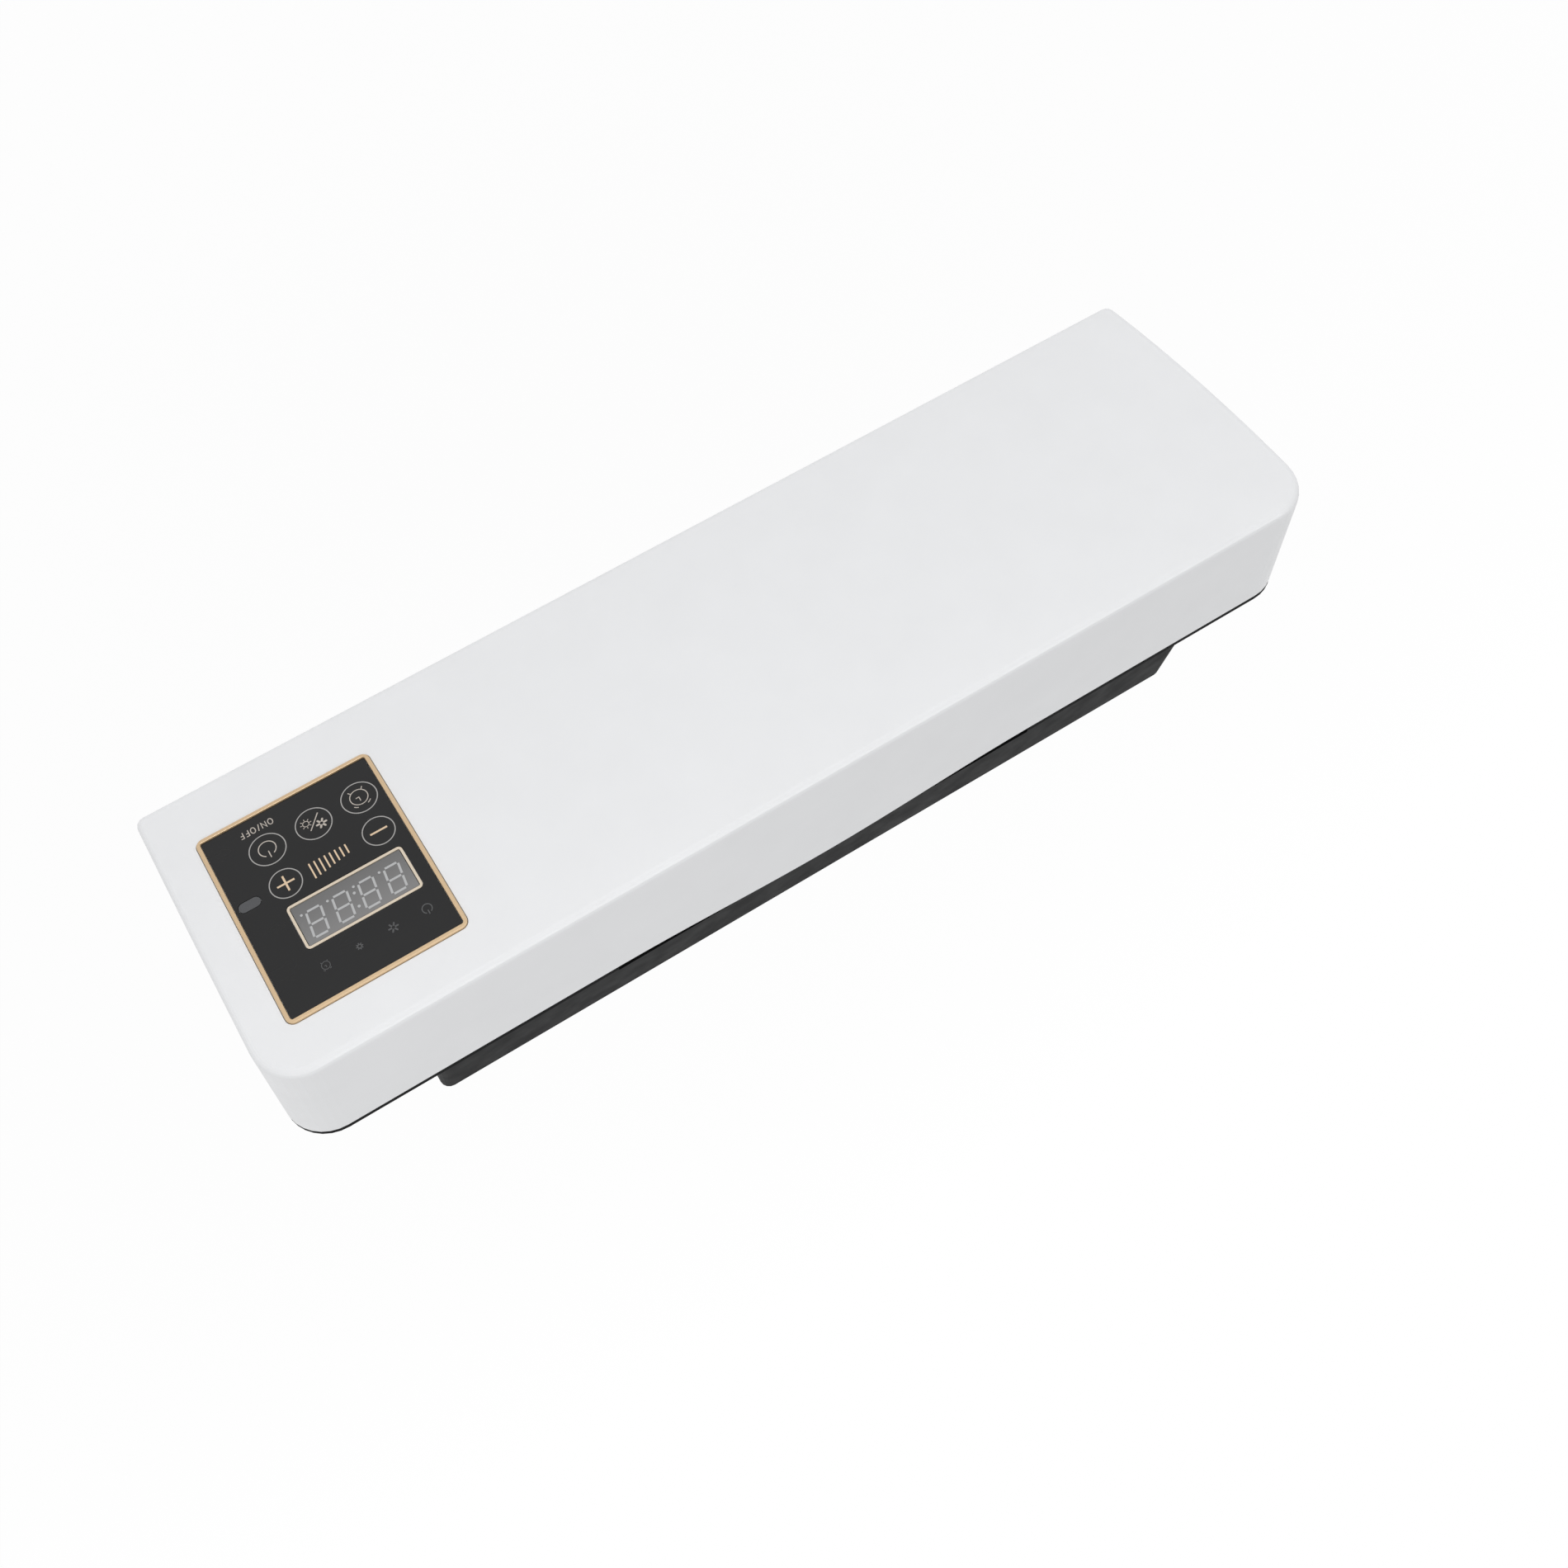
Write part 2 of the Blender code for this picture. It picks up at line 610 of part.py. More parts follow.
def board_screw_places():
    """The touch board's two screws, inside opposite corners."""
    dx = PANEL_WIDTH / 2 - BOARD_MARGIN - SCREW_HEAD_R - GAP
    dz = PANEL_HEIGHT / 2 - BOARD_MARGIN - SCREW_HEAD_R - GAP
    return [(PANEL_X + side * dx, PANEL_Z - side * dz) for side in (-1, 1)]


def cover_post(x, z):
    """Screw post from the inside of the face to just short of the flange."""
    return cylinder("post", "Y", (x, z), POST_R, crown_y(z, COVER_WALL / 2), FLANGE_FRONT_Y - GAP, 20)


def front_cover():
    """White cover: crowned shell, panel pocket with its seat, screw posts and stiffening ribs."""
    cover = cover_shell()
    seat = prism("seat", panel_outline(BEZEL_WIDTH), "Y", -OVERALL_DEPTH - TINY, SEAT_Y)
    slab = crown_slab("seat_slab", COVER_WALL / 2, OPEN)
    boolean(seat, slab, "INTERSECT")
    join(cover, seat)
    cut(cover, crowned("pocket", panel_outline(GAP), -OPEN / 3, PANEL_RECESS))
    holes = [prism("display_hole", display_outline(-DISPLAY_BORDER), "Y", -OVERALL_DEPTH, SEAT_Y + TINY),
             prism("ir_hole", ir_outline(-TINY), "Y", -OVERALL_DEPTH, SEAT_Y + TINY)]
    holes += [cylinder("hole", "Y", place, SCREW_R + GAP, SEAT_Y - PANEL_SEAT, SEAT_Y + TINY, 12)
              for place in board_screw_places()]
    cut(cover, merge_meshes("holes", holes))
    for x in RIB_X:
        rib = box("rib", (x - RIB_WALL / 2, x + RIB_WALL / 2), (-OVERALL_DEPTH, FACE_Y + RIB_HEIGHT),
                  (FACE_BOTTOM_Z + COVER_WALL / 2, FACE_TOP_Z - COVER_WALL / 2))
        boolean(rib, crown_slab("rib_slab", COVER_WALL / 2, OPEN), "INTERSECT")
        join(cover, rib)
    for place in POST_PLACES:
        join(cover, cover_post(*place))
        cut(cover, cylinder("bore", "Y", place, SCREW_R + GAP, FLANGE_FRONT_Y - POST_BORE,
                            FLANGE_FRONT_Y, 12))
    return dress(cover, "white_plastic")


# ---------------------------------------------------------------- touch panel

def bezel_loop(inset, depth, side_steps=12):
    """Loop of the bezel, inset from its outer edge and at a depth below the crowned face."""
    radius = PANEL_R - (PANEL_R - BEZEL_INNER_R) * inset / BEZEL_WIDTH
    outline = rounded_rectangle((PANEL_X, PANEL_Z), PANEL_WIDTH - 2 * inset,
                                PANEL_HEIGHT - 2 * inset, radius, 5)
    loop = []
    for (x, z), (next_x, next_z) in zip(outline, outline[1:] + outline[:1]):
        steps = side_steps if abs(next_z - z) > PANEL_HEIGHT / 2 else 1
        for i in range(steps):
            height = z + (next_z - z) * i / steps
            loop.append((x, crown_y(height, depth), height))
    return loop


def panel_bezel():
    """Gold ring round the touch panel, proud of the face and rounded outwards."""
    back = PANEL_RECESS - GAP
    section = [(0.0, back)]
    for turn in (0.0, math.pi / 4, math.pi / 2):
        section.append((BEZEL_EDGE_R * (1 - math.cos(turn)),
                        BEZEL_EDGE_R * (1 - math.sin(turn)) - BEZEL_RISE))
    section += [(BEZEL_WIDTH - BEZEL_BREAK, -BEZEL_RISE), (BEZEL_WIDTH, BEZEL_BREAK - BEZEL_RISE),
                (BEZEL_WIDTH, back)]
    return dress(ring("panel_bezel", [bezel_loop(inset, depth) for inset, depth in section]), "gold")


def touch_panel():
    """Black touch sheet inside the bezel, with its openings for the display and the window."""
    outline = rounded_rectangle((PANEL_X, PANEL_Z), PANEL_WIDTH - 2 * BEZEL_WIDTH - 2 * GAP,
                                PANEL_HEIGHT - 2 * BEZEL_WIDTH - 2 * GAP,
                                BEZEL_INNER_R - GAP, 5)
    sheet = crowned("touch_panel", outline, 0.0, PANEL_RECESS - GAP)
    cut(sheet, prism("display_hole", display_outline(GAP), "Y", -OVERALL_DEPTH - OPEN, FACE_Y + OPEN))
    cut(sheet, prism("ir_hole", ir_outline(GAP), "Y", -OVERALL_DEPTH - OPEN, FACE_Y + OPEN))
    return dress(sheet, "panel_black")


def display_frame():
    """Gold frame round the display window."""
    inner = rounded_rectangle((DISPLAY_X, DISPLAY_Z), DISPLAY_WIDTH - 2 * DISPLAY_BORDER,
                              DISPLAY_HEIGHT - 2 * DISPLAY_BORDER, DISPLAY_R - DISPLAY_BORDER, 4)
    frame = tube("display_frame", display_outline(), inner, "Y", -OVERALL_DEPTH - OPEN, FACE_Y + OPEN)
    boolean(frame, crown_slab("frame_slab", 0.0, PANEL_RECESS - GAP), "INTERSECT")
    return dress(frame, "gold")


def display_window():
    """Grey window inside the display frame."""
    outline = rounded_rectangle((DISPLAY_X, DISPLAY_Z), DISPLAY_WIDTH - 2 * DISPLAY_BORDER - 2 * GAP,
                                DISPLAY_HEIGHT - 2 * DISPLAY_BORDER - 2 * GAP, TINY, 4)
    return dress(crowned("display_window", outline, GAP, GAP + WINDOW_WALL), "window_grey")


def ir_window():
    """Stadium-shaped lens over the receiver."""
    return dress(crowned("ir_window", ir_outline(), 0.0, PANEL_RECESS - GAP), "ir_lens")


def display_module():
    """Four-digit light block on the touch board, with a groove between its digits."""
    width = DISPLAY_WIDTH - 2 * DISPLAY_BORDER - 4 * GAP
    height = DISPLAY_HEIGHT - 2 * DISPLAY_BORDER - 4 * GAP
    front = crown_y(DISPLAY_Z + height / 2, GAP + WINDOW_WALL + GAP)
    block = box("display_module", (DISPLAY_X - width / 2, DISPLAY_X + width / 2),
                (front, BOARD_FRONT_Y - GAP), (DISPLAY_Z - height / 2, DISPLAY_Z + height / 2))
    for i in range(1, DIGITS):
        x = DISPLAY_X - width / 2 + width * i / DIGITS
        cut(block, box("groove", (x - TINY / 2, x + TINY / 2), (front - TINY, front + TINY),
                       (DISPLAY_Z - height, DISPLAY_Z + height)))
    return dress(block, "component_dark")


def ir_receiver():
    """Receiver with a round nose behind the infra-red window."""
    depth = BOARD_FRONT_Y - GAP
    half = IR_WIDTH / 2 - IR_HEIGHT / 2
    front = depth - RECEIVER_HALF
    body = box("ir_receiver", (IR_X - half, IR_X + half), (front, depth),
               (IR_Z - RECEIVER_HALF, IR_Z + RECEIVER_HALF))
    join(body, cylinder("nose", "Z", (IR_X, front), RECEIVER_R, IR_Z - RECEIVER_R, IR_Z + RECEIVER_R, 16))
    return dress(body, "component_dark")


def touch_board():
    """Circuit board screwed to the seat behind the panel."""
    outline = rounded_rectangle((PANEL_X, PANEL_Z), PANEL_WIDTH - 2 * BOARD_MARGIN,
                                PANEL_HEIGHT - 2 * BOARD_MARGIN, BOARD_R, 3)
    board = prism("touch_board", outline, "Y", BOARD_FRONT_Y, BOARD_FRONT_Y + BOARD_THICKNESS)
    for x, z in board_screw_places():
        cut(board, cylinder("hole", "Y", (x, z), SCREW_R + GAP, BOARD_FRONT_Y - TINY,
                            BOARD_FRONT_Y + BOARD_THICKNESS + TINY, 12))
    return dress(board, "circuit_green")


def screw(name, x, z, seat_y, length):
    """Pan-head screw along Y; its head lies on the wall side of seat_y."""
    head_y = seat_y + GAP
    shank = cylinder(name, "Y", (x, z), SCREW_R, seat_y - length, head_y + TINY, 12)
    join(shank, cylinder("head", "Y", (x, z), SCREW_HEAD_R, head_y, head_y + SCREW_HEAD, 16))
    return dress(shank, "steel")


def board_screws():
    """Screws of the touch board."""
    rear = BOARD_FRONT_Y + BOARD_THICKNESS
    for i, (x, z) in enumerate(board_screw_places()):
        screw("board_screw_%d" % (i + 1), x, z, rear, BOARD_THICKNESS + BOARD_SCREW_BITE)


def cover_screws():
    """Four screws from the rear flange into the cover's posts."""
    for i, (x, z) in enumerate(POST_PLACES):
        screw("cover_screw_%d" % (i + 1), x, z, FLANGE_REAR_Y, FLANGE + COVER_SCREW_BITE)


# ---------------------------------------------------------------- rear case

def flange_outline(inset):
    """Closed outline that follows the cover's rim, without its bow points."""
    half = cover_outline(1.0, inset, end_steps=2)
    return half + [(-x, z) for x, z in reversed(half)]


def block_loop(y, inset):
    """Section of the case's block at depth y."""
    share = (y - FLANGE_FRONT_Y) / (-WALL_GAP - FLANGE_FRONT_Y)
    top = BLOCK_TOP_Z - BLOCK_DROP * share - inset
    bottom = BLOCK_BOTTOM_Z + inset
    outline = rounded_rectangle((0.0, (top + bottom) / 2), BLOCK_LENGTH - 2 * inset, top - bottom,
                                max(BLOCK_R - inset, TINY), 4)
    return [(x, y, z) for x, z in outline]


def block_solid():
    """The long block towards the wall, rounded along its rear edges."""
    rear = -WALL_GAP
    levels = [(FLANGE_FRONT_Y + TINY, 0.0)]
    for step in range(4):
        turn = math.pi / 2 * step / 3
        levels.append((rear - BLOCK_REAR_R * (1 - math.sin(turn)), BLOCK_REAR_R * (1 - math.cos(turn))))
    return loft("block", [block_loop(y, inset) for y, inset in levels])


def block_cavity():
    """Room inside the block, open towards the cover."""
    front = FLANGE_FRONT_Y - LIP_HEIGHT - TINY
    rear = CASE_REAR_INNER_Y
    half = BLOCK_LENGTH / 2 - CASE_WALL
    bottom = BLOCK_BOTTOM_Z + CASE_WALL
    slope = BLOCK_DROP / (-WALL_GAP - FLANGE_FRONT_Y)
    top_front = BLOCK_TOP_Z - CASE_TOP_WALL
    top_rear = BLOCK_TOP_Z - slope * (rear - FLANGE_FRONT_Y) - CASE_WALL
    loops = []
    for y, top in ((front, top_front), (FLANGE_REAR_Y, top_front), (rear, top_rear)):
        outline = rounded_rectangle((0.0, (top + bottom) / 2), 2 * half, top - bottom, BLOCK_INNER_R, 3)
        loops.append([(x, y, z) for x, z in outline])
    return loft("cavity", loops)


def intake_hole(side, grow):
    """Outline of the intake opening in the flange at one end."""
    return rounded_rectangle((side * INTAKE_X, INTAKE_Z), INTAKE_WIDTH + 2 * grow, INTAKE_HEIGHT + 2 * grow,
                             INTAKE_R + grow, 3)


def standoff(x, z, tip_y):
    """Post on the case's rear wall."""
    return cylinder("standoff", "Y", (x, z), STANDOFF_R, tip_y, CASE_REAR_INNER_Y + CASE_REAR_WALL / 2, 16)


def power_board_places():
    """The power board's four fixings."""
    inset = POWER_BOARD_HOLE_INSET
    return [(x, z) for x in (POWER_BOARD_X[0] + inset, POWER_BOARD_X[1] - inset)
            for z in (POWER_BOARD_Z[0] + inset, POWER_BOARD_Z[1] - inset)]


def bracket_outline(grow):
    """Outline of the bracket's plate."""
    return rounded_rectangle((0.0, 0.0), BRACKET_LENGTH + 2 * grow, BRACKET_HEIGHT + 2 * grow, BRACKET_R, 3)


def rear_case():
    """Black rear case: flange with its locating lip, block, intake openings and fixings."""
    case = prism("rear_case", flange_outline(FLANGE_INSET), "Y", FLANGE_FRONT_Y, FLANGE_REAR_Y)
    lip = COVER_WALL + GAP
    join(case, tube("lip", flange_outline(lip), flange_outline(lip + LIP_WALL), "Y",
                    FLANGE_FRONT_Y - LIP_HEIGHT, FLANGE_FRONT_Y + TINY))
    join(case, block_solid())
    cut(case, block_cavity())
    bow = RIM_BOW_LENGTH / 2 + GAP
    notch_z = RIM_TOP_Z - COVER_WALL - GAP - RIM_BOW * TOP_DRAFT / (COVER_DEPTH - CREASE_R)
    cut(case, box("bow_notch", (-bow, bow), (RIM_Y - GAP, RIM_Y + RIM_BOW + GAP), (notch_z, FACE_TOP_Z)))
    cut(case, box("outlet", (-OUTLET_LENGTH / 2, OUTLET_LENGTH / 2), (OUTLET_FRONT_Y, OUTLET_REAR_Y),
                  (BLOCK_BOTTOM_Z - TINY, BLOCK_BOTTOM_Z + CASE_WALL + TINY)))
    for side in (-1, 1):
        cut(case, prism("intake", intake_hole(side, 0.0), "Y", FLANGE_FRONT_Y - TINY, FLANGE_REAR_Y + TINY))
    for place in POST_PLACES:
        cut(case, cylinder("hole", "Y", place, SCREW_R + GAP, FLANGE_FRONT_Y - FLANGE,
                           FLANGE_REAR_Y + TINY, 12))
    for x, z in power_board_places():
        join(case, standoff(x, z, POWER_BOARD_Y + BOARD_THICKNESS + GAP))
    cut(case, prism("recess", bracket_outline(GAP), "Y", -WALL_GAP - BRACKET_SHEET, TINY))
    for x in (-HOOK_X, HOOK_X):
        cut(case, box("hook_slot", (x - HOOK_WIDTH / 2 - GAP, x + HOOK_WIDTH / 2 + GAP),
                      (CASE_REAR_INNER_Y - TINY, TINY),
                      (BRACKET_HEIGHT / 2 - HOOK_SLOT[0], BRACKET_HEIGHT / 2 - HOOK_SLOT[1])))
    cut(case, cylinder("gland_hole", "X", (GLAND_Y, GLAND_Z), GLAND_R - GLAND_STEP + GAP,
                       BLOCK_LENGTH / 2 - CASE_WALL - TINY, BLOCK_LENGTH / 2 + TINY, 20))
    return dress(case, "black_plastic")


def intake_grille(side, name):
    """Slotted grille pushed into the flange from behind."""
    seat = FLANGE_REAR_Y + GAP
    frame = prism(name, intake_hole(side, INTAKE_LIP), "Y", seat, seat + INTAKE_LIP_WALL)
    join(frame, prism("plug", intake_hole(side, -GAP), "Y", FLANGE_FRONT_Y, seat + TINY))
    reach = INTAKE_WIDTH / 2 - INTAKE_BORDER
    count = int((INTAKE_HEIGHT - 2 * INTAKE_BORDER) / INTAKE_PITCH)
    slots = []
    for i in range(count):
        z = INTAKE_Z + (i - (count - 1) / 2) * INTAKE_PITCH
        slots.append(box("slot", (side * INTAKE_X - reach, side * INTAKE_X + reach),
                         (FLANGE_FRONT_Y - TINY, seat + 2 * INTAKE_LIP_WALL),
                         (z - INTAKE_SLOT / 2, z + INTAKE_SLOT / 2)))
    cut(frame, merge_meshes("slots", slots))
    return dress(frame, "black_plastic")


def intake_filter(side, name):
    """Foam filter that lies on the inside of the grille."""
    pad = prism(name, intake_hole(side, -GAP), "Y", FLANGE_FRONT_Y - GAP - FILTER, FLANGE_FRONT_Y - GAP)
    return dress(pad, "filter_foam")


def cord_gland():
    """Flanged bush in the block's end wall, where the mains lead enters."""
    end = BLOCK_LENGTH / 2
    centre = (GLAND_Y, GLAND_Z)
    gland = tube("cord_gland", circle(centre, GLAND_R, 20), circle(centre, GLAND_BORE_R, 20), "X",
                 end + GAP, end + GAP + GLAND_FLANGE)
    neck = tube("neck", circle(centre, GLAND_R - GLAND_STEP, 20), circle(centre, GLAND_BORE_R, 20), "X",
                end - CASE_WALL - GLAND_NECK, end + GAP + TINY)
    return dress(join(gland, neck), "rubber")


# ---------------------------------------------------------------- wall fixing

def wall_bracket():
    """Steel plate on the wall, with four screw holes and two hooks that carry the case."""
    plate = prism("wall_bracket", bracket_outline(0.0), "Y", -BRACKET_SHEET, 0.0)
    top = BRACKET_HEIGHT / 2 - HOOK_DROP
    for x in (-HOOK_X, HOOK_X):
        tip_y = -HOOK_REACH
        outline = [(-BRACKET_SHEET / 2, top - BRACKET_SHEET), (tip_y, top - BRACKET_SHEET),
                   (tip_y, top + BRACKET_SHEET), (tip_y + BRACKET_SHEET, top + BRACKET_SHEET),
                   (tip_y + BRACKET_SHEET, top), (-BRACKET_SHEET / 2, top)]
        join(plate, prism("hook", outline, "X", x - HOOK_WIDTH / 2, x + HOOK_WIDTH / 2))
    for x in (-BRACKET_HOLE_X, BRACKET_HOLE_X):
        for z in (-BRACKET_HEIGHT / 4, BRACKET_HEIGHT / 4):
            cut(plate, cylinder("hole", "Y", (x, z), BRACKET_HOLE_R, -BRACKET_SHEET - TINY, TINY, 16))
    return dress(plate, "steel")


def wall_pad(name, x, grow=0.0):
    """Rubber pad in the manifold's rear face; grown, it is the cutter of its own seat."""
    top = MANIFOLD_TOP_Z - PAD_INSET
    return box(name, (x - PAD_LENGTH / 2 - grow, x + PAD_LENGTH / 2 + grow), (-PAD - grow, grow),
               (top - PAD_HEIGHT - grow, top + grow))


def wall_pads():
    """Two rubber pads that keep the manifold off the wall."""
    for name, x in (("wall_pad_left", -ARM_PITCH), ("wall_pad_right", ARM_PITCH)):
        dress(wall_pad(name, x), "rubber")


# ---------------------------------------------------------------- outlet manifold

def manifold_profile(inset):
    """Side view of the manifold: a box whose underside slants back to the wall."""
    rear = -WALL_GAP - inset
    front = MANIFOLD_FRONT_Y + inset
    nose_y = -WALL_GAP - MANIFOLD_NOSE
    run = Vector((nose_y - MANIFOLD_FRONT_Y, NOSE_Z - MANIFOLD_CHAMFER_Z)).normalized()
    lift = inset / run.x
    slope = run.y / run.x
    chamfer_z = MANIFOLD_CHAMFER_Z + lift + slope * inset
    rear_z = MANIFOLD_CHAMFER_Z + lift + slope * (min(rear, nose_y) - MANIFOLD_FRONT_Y)
    points = [(rear, MANIFOLD_TOP_Z), (front, MANIFOLD_TOP_Z), (front, chamfer_z)]
    points.append((min(rear, nose_y), rear_z))
    if inset == 0.0:
        points.append((rear, NOSE_Z))
    return points


def bay_outline():
    """Side view of the room that one arm needs, from its stowed to its working position."""
    pivot = Vector((PIVOT_Y, PIVOT_Z))
    half = ARM_ROOT_THICKNESS / 2 + GAP * 2
    stow = math.radians(180 - ARM_STOW_DEG)
    work = math.radians(180 - ARM_STOW_DEG + ARM_SWING_DEG)
    up = Vector((math.cos(stow), math.sin(stow)))
    down = Vector((math.cos(work), math.sin(work)))
    above = Vector((up.y, -up.x)) * half
    below = Vector((-down.y, down.x)) * half
    points = (pivot + above, pivot + above + up * ARM_REACH, pivot + below + down * ARM_REACH,
              pivot + below)
    return [tuple(p) for p in points]


def manifold_pocket(left, right):
    """Cutter for a hollow between two bays, open towards the wall."""
    ceiling = DUCT_FLOOR_Z - MANIFOLD_WALL
    front, nose = manifold_profile(MANIFOLD_WALL)[2:4]
    outline = [(TINY, ceiling), (front[0], ceiling), front, nose, (TINY, nose[1])]
    return prism("pocket", outline, "X", left, right)


def outlet_manifold():
    """Black manifold: air duct on top, four hinge bays below, cored out from behind."""
    half = MANIFOLD_LENGTH / 2
    manifold = prism("outlet_manifold", manifold_profile(0.0), "X", -half, half)
    cut(manifold, box("duct", (-OUTLET_LENGTH / 2, OUTLET_LENGTH / 2),
                      (MANIFOLD_FRONT_Y + MANIFOLD_WALL, OUTLET_REAR_Y),
                      (DUCT_FLOOR_Z, MANIFOLD_TOP_Z + TINY)))
    bay_r = DRUM_R + 2 * GAP
    for x in ARM_XS:
        bay = cylinder("bay", "X", (PIVOT_Y, PIVOT_Z), bay_r, x - BAY_HALF, x + BAY_HALF, 30)
        join(bay, prism("sweep", bay_outline(), "X", x - BAY_HALF, x + BAY_HALF))
        cut(manifold, bay)
        low = PIVOT_Y + DRUM_R * math.cos(math.radians(PORT_WINDOW_DEG[1] - ARM_STOW_DEG))
        high = PIVOT_Y + DRUM_R * math.cos(math.radians(ARM_STOW_DEG))
        cut(manifold, box("port", (x - PORT_WIDTH / 2, x + PORT_WIDTH / 2), (low, min(high, OUTLET_REAR_Y)),
                          (PIVOT_Z + DRUM_R / 2, DUCT_FLOOR_Z + TINY)))
    edges = [-half] + [x + side * BAY_HALF for x in ARM_XS for side in (-1, 1)] + [half]
    for left, right in zip(edges[0::2], edges[1::2]):
        inner_left = left + MANIFOLD_WALL
        inner_right = right - MANIFOLD_WALL
        middle = (inner_left + inner_right) / 2
        if inner_right - inner_left > POCKET_MAX:
            cut(manifold, manifold_pocket(inner_left, middle - MANIFOLD_WALL / 2))
            cut(manifold, manifold_pocket(middle + MANIFOLD_WALL / 2, inner_right))
        else:
            cut(manifold, manifold_pocket(inner_left, inner_right))
    cut(manifold, cylinder("rod_hole", "X", (PIVOT_Y, PIVOT_Z), ROD_R + GAP, -half - TINY, half + TINY, 14))
    for x in (-ARM_PITCH, ARM_PITCH):
        cut(manifold, wall_pad("pad_seat", x, GAP))
    return dress(manifold, "black_plastic")


def manifold_gasket():
    """Soft seal round the opening between the case and the manifold."""
    top = BLOCK_BOTTOM_Z - GAP
    loops = []
    for end, rim in ((GASKET_END, GASKET_RIM), (0.0, 0.0)):
        half = OUTLET_LENGTH / 2 + end
        front = OUTLET_FRONT_Y - rim
        rear = OUTLET_REAR_Y + rim
        loops.append([(-half, front), (half, front), (half, rear), (-half, rear)])
    return dress(tube("manifold_gasket", *loops, "Z", top - GASKET, top), "rubber")


def hinge_rod():
    """Steel rod through the manifold on which all four arms turn."""
    half = MANIFOLD_LENGTH / 2 - GAP
    return dress(cylinder("hinge_rod", "X", (PIVOT_Y, PIVOT_Z), ROD_R, -half, half, 14), "steel")


# ---------------------------------------------------------------- boot arms

def arm_section(y, width, thickness):
    """Stadium-like section of an arm, in the arm's own frame, with the arm along -Y."""
    outline = rounded_rectangle((0.0, 0.0), width, thickness, thickness / 2 - TINY, 4)
    return [(x, y, z) for x, z in outline]


def arm_width(y):
    """Width and thickness of the arm at y in its own frame."""
    share = min(max((-y - DRUM_R) / (ARM_REACH - DRUM_R), 0.0), 1.0)
    width = ARM_WIDTH + (ARM_TIP_WIDTH - ARM_WIDTH) * share
    thickness = ARM_ROOT_THICKNESS + (ARM_TIP_THICKNESS - ARM_ROOT_THICKNESS) * share
    return width, thickness


def arm_tube(name, shrink, start, end):
    """Tapered tube solid of an arm between two places along it."""
    loops = []
    for y in (start, -DRUM_R, end):
        width, thickness = arm_width(y)
        loops.append(arm_section(y, width - 2 * shrink, thickness - 2 * shrink))
    return loft(name, loops)


def arm_collar(name):
    """Rounded collar at the mouth."""
    loops = []
    for i in range(5):
        turn = math.pi * i / 4
        y = -ARM_REACH + ARM_LIP_HALF * (1 + math.cos(turn))
        width, thickness = arm_width(y)
        grow = ARM_LIP * math.sin(turn)
        loops.append(arm_section(y, width + 2 * grow, thickness + 2 * grow))
    return loft(name, loops)


def port_window():
    """Cutter for the drum's air inlet, on its upper rear side."""
    start, end = PORT_WINDOW_DEG
    far = DRUM_R * 1.3
    near = DRUM_R * 0.6
    outline = arc((0.0, 0.0), far, start, end, 6) + arc((0.0, 0.0), near, end, start, 6)
    return prism("window", outline, "X", -PORT_WIDTH / 2, PORT_WIDTH / 2)


def arm_in_its_own_frame():
    """One hollow arm in its own frame: hinge drum, tapered tube, collar and side slots."""
    half = ARM_WIDTH / 2
    arm = cylinder("arm", "X", (0.0, 0.0), DRUM_R, -half, half, 30)
    join(arm, arm_tube("tube", 0.0, -DRUM_R / 3, -ARM_REACH))
    join(arm, arm_collar("collar"))
    bore_half = half - DRUM_WALL
    cut(arm, cylinder("drum_bore", "X", (0.0, 0.0), DRUM_R - DRUM_WALL, -bore_half, bore_half, 24))
    cut(arm, arm_tube("bore", ARM_WALL, -DRUM_R / 3, -ARM_REACH - TINY))
    cut(arm, port_window())
    cut(arm, cylinder("rod_hole", "X", (0.0, 0.0), ROD_R + GAP, -half - TINY, half + TINY, 14))
    slots = []
    for i in range(ARM_SLOTS):
        y = -ARM_REACH + ARM_SLOT_START + i * ARM_SLOT_PITCH
        slots.append(box("slot", (-ARM_SLOT_WIDTH / 2, ARM_SLOT_WIDTH / 2), (y, y + GRILLE_SLOT),
                         (-ARM_ROOT_THICKNESS, ARM_ROOT_THICKNESS)))
    cut(arm, merge_meshes("slots", slots))
    return dress(arm, "black_plastic")


def copy_to_arms(pattern, name):
    """Put a copy of the pattern, built in the arm's own frame, at each hinge in the stowed position."""
    for i, x in enumerate(ARM_XS):
        item = bpy.data.objects.new(name % (i + 1), pattern.data)
        bpy.context.scene.collection.objects.link(item)
        item.location = (x, PIVOT_Y, PIVOT_Z)
        item.rotation_euler = (-math.radians(ARM_STOW_DEG), 0.0, 0.0)
    bpy.data.objects.remove(pattern)


def boot_arms():
    """Four arms that share one mesh."""
    copy_to_arms(arm_in_its_own_frame(), "boot_arm_%d")


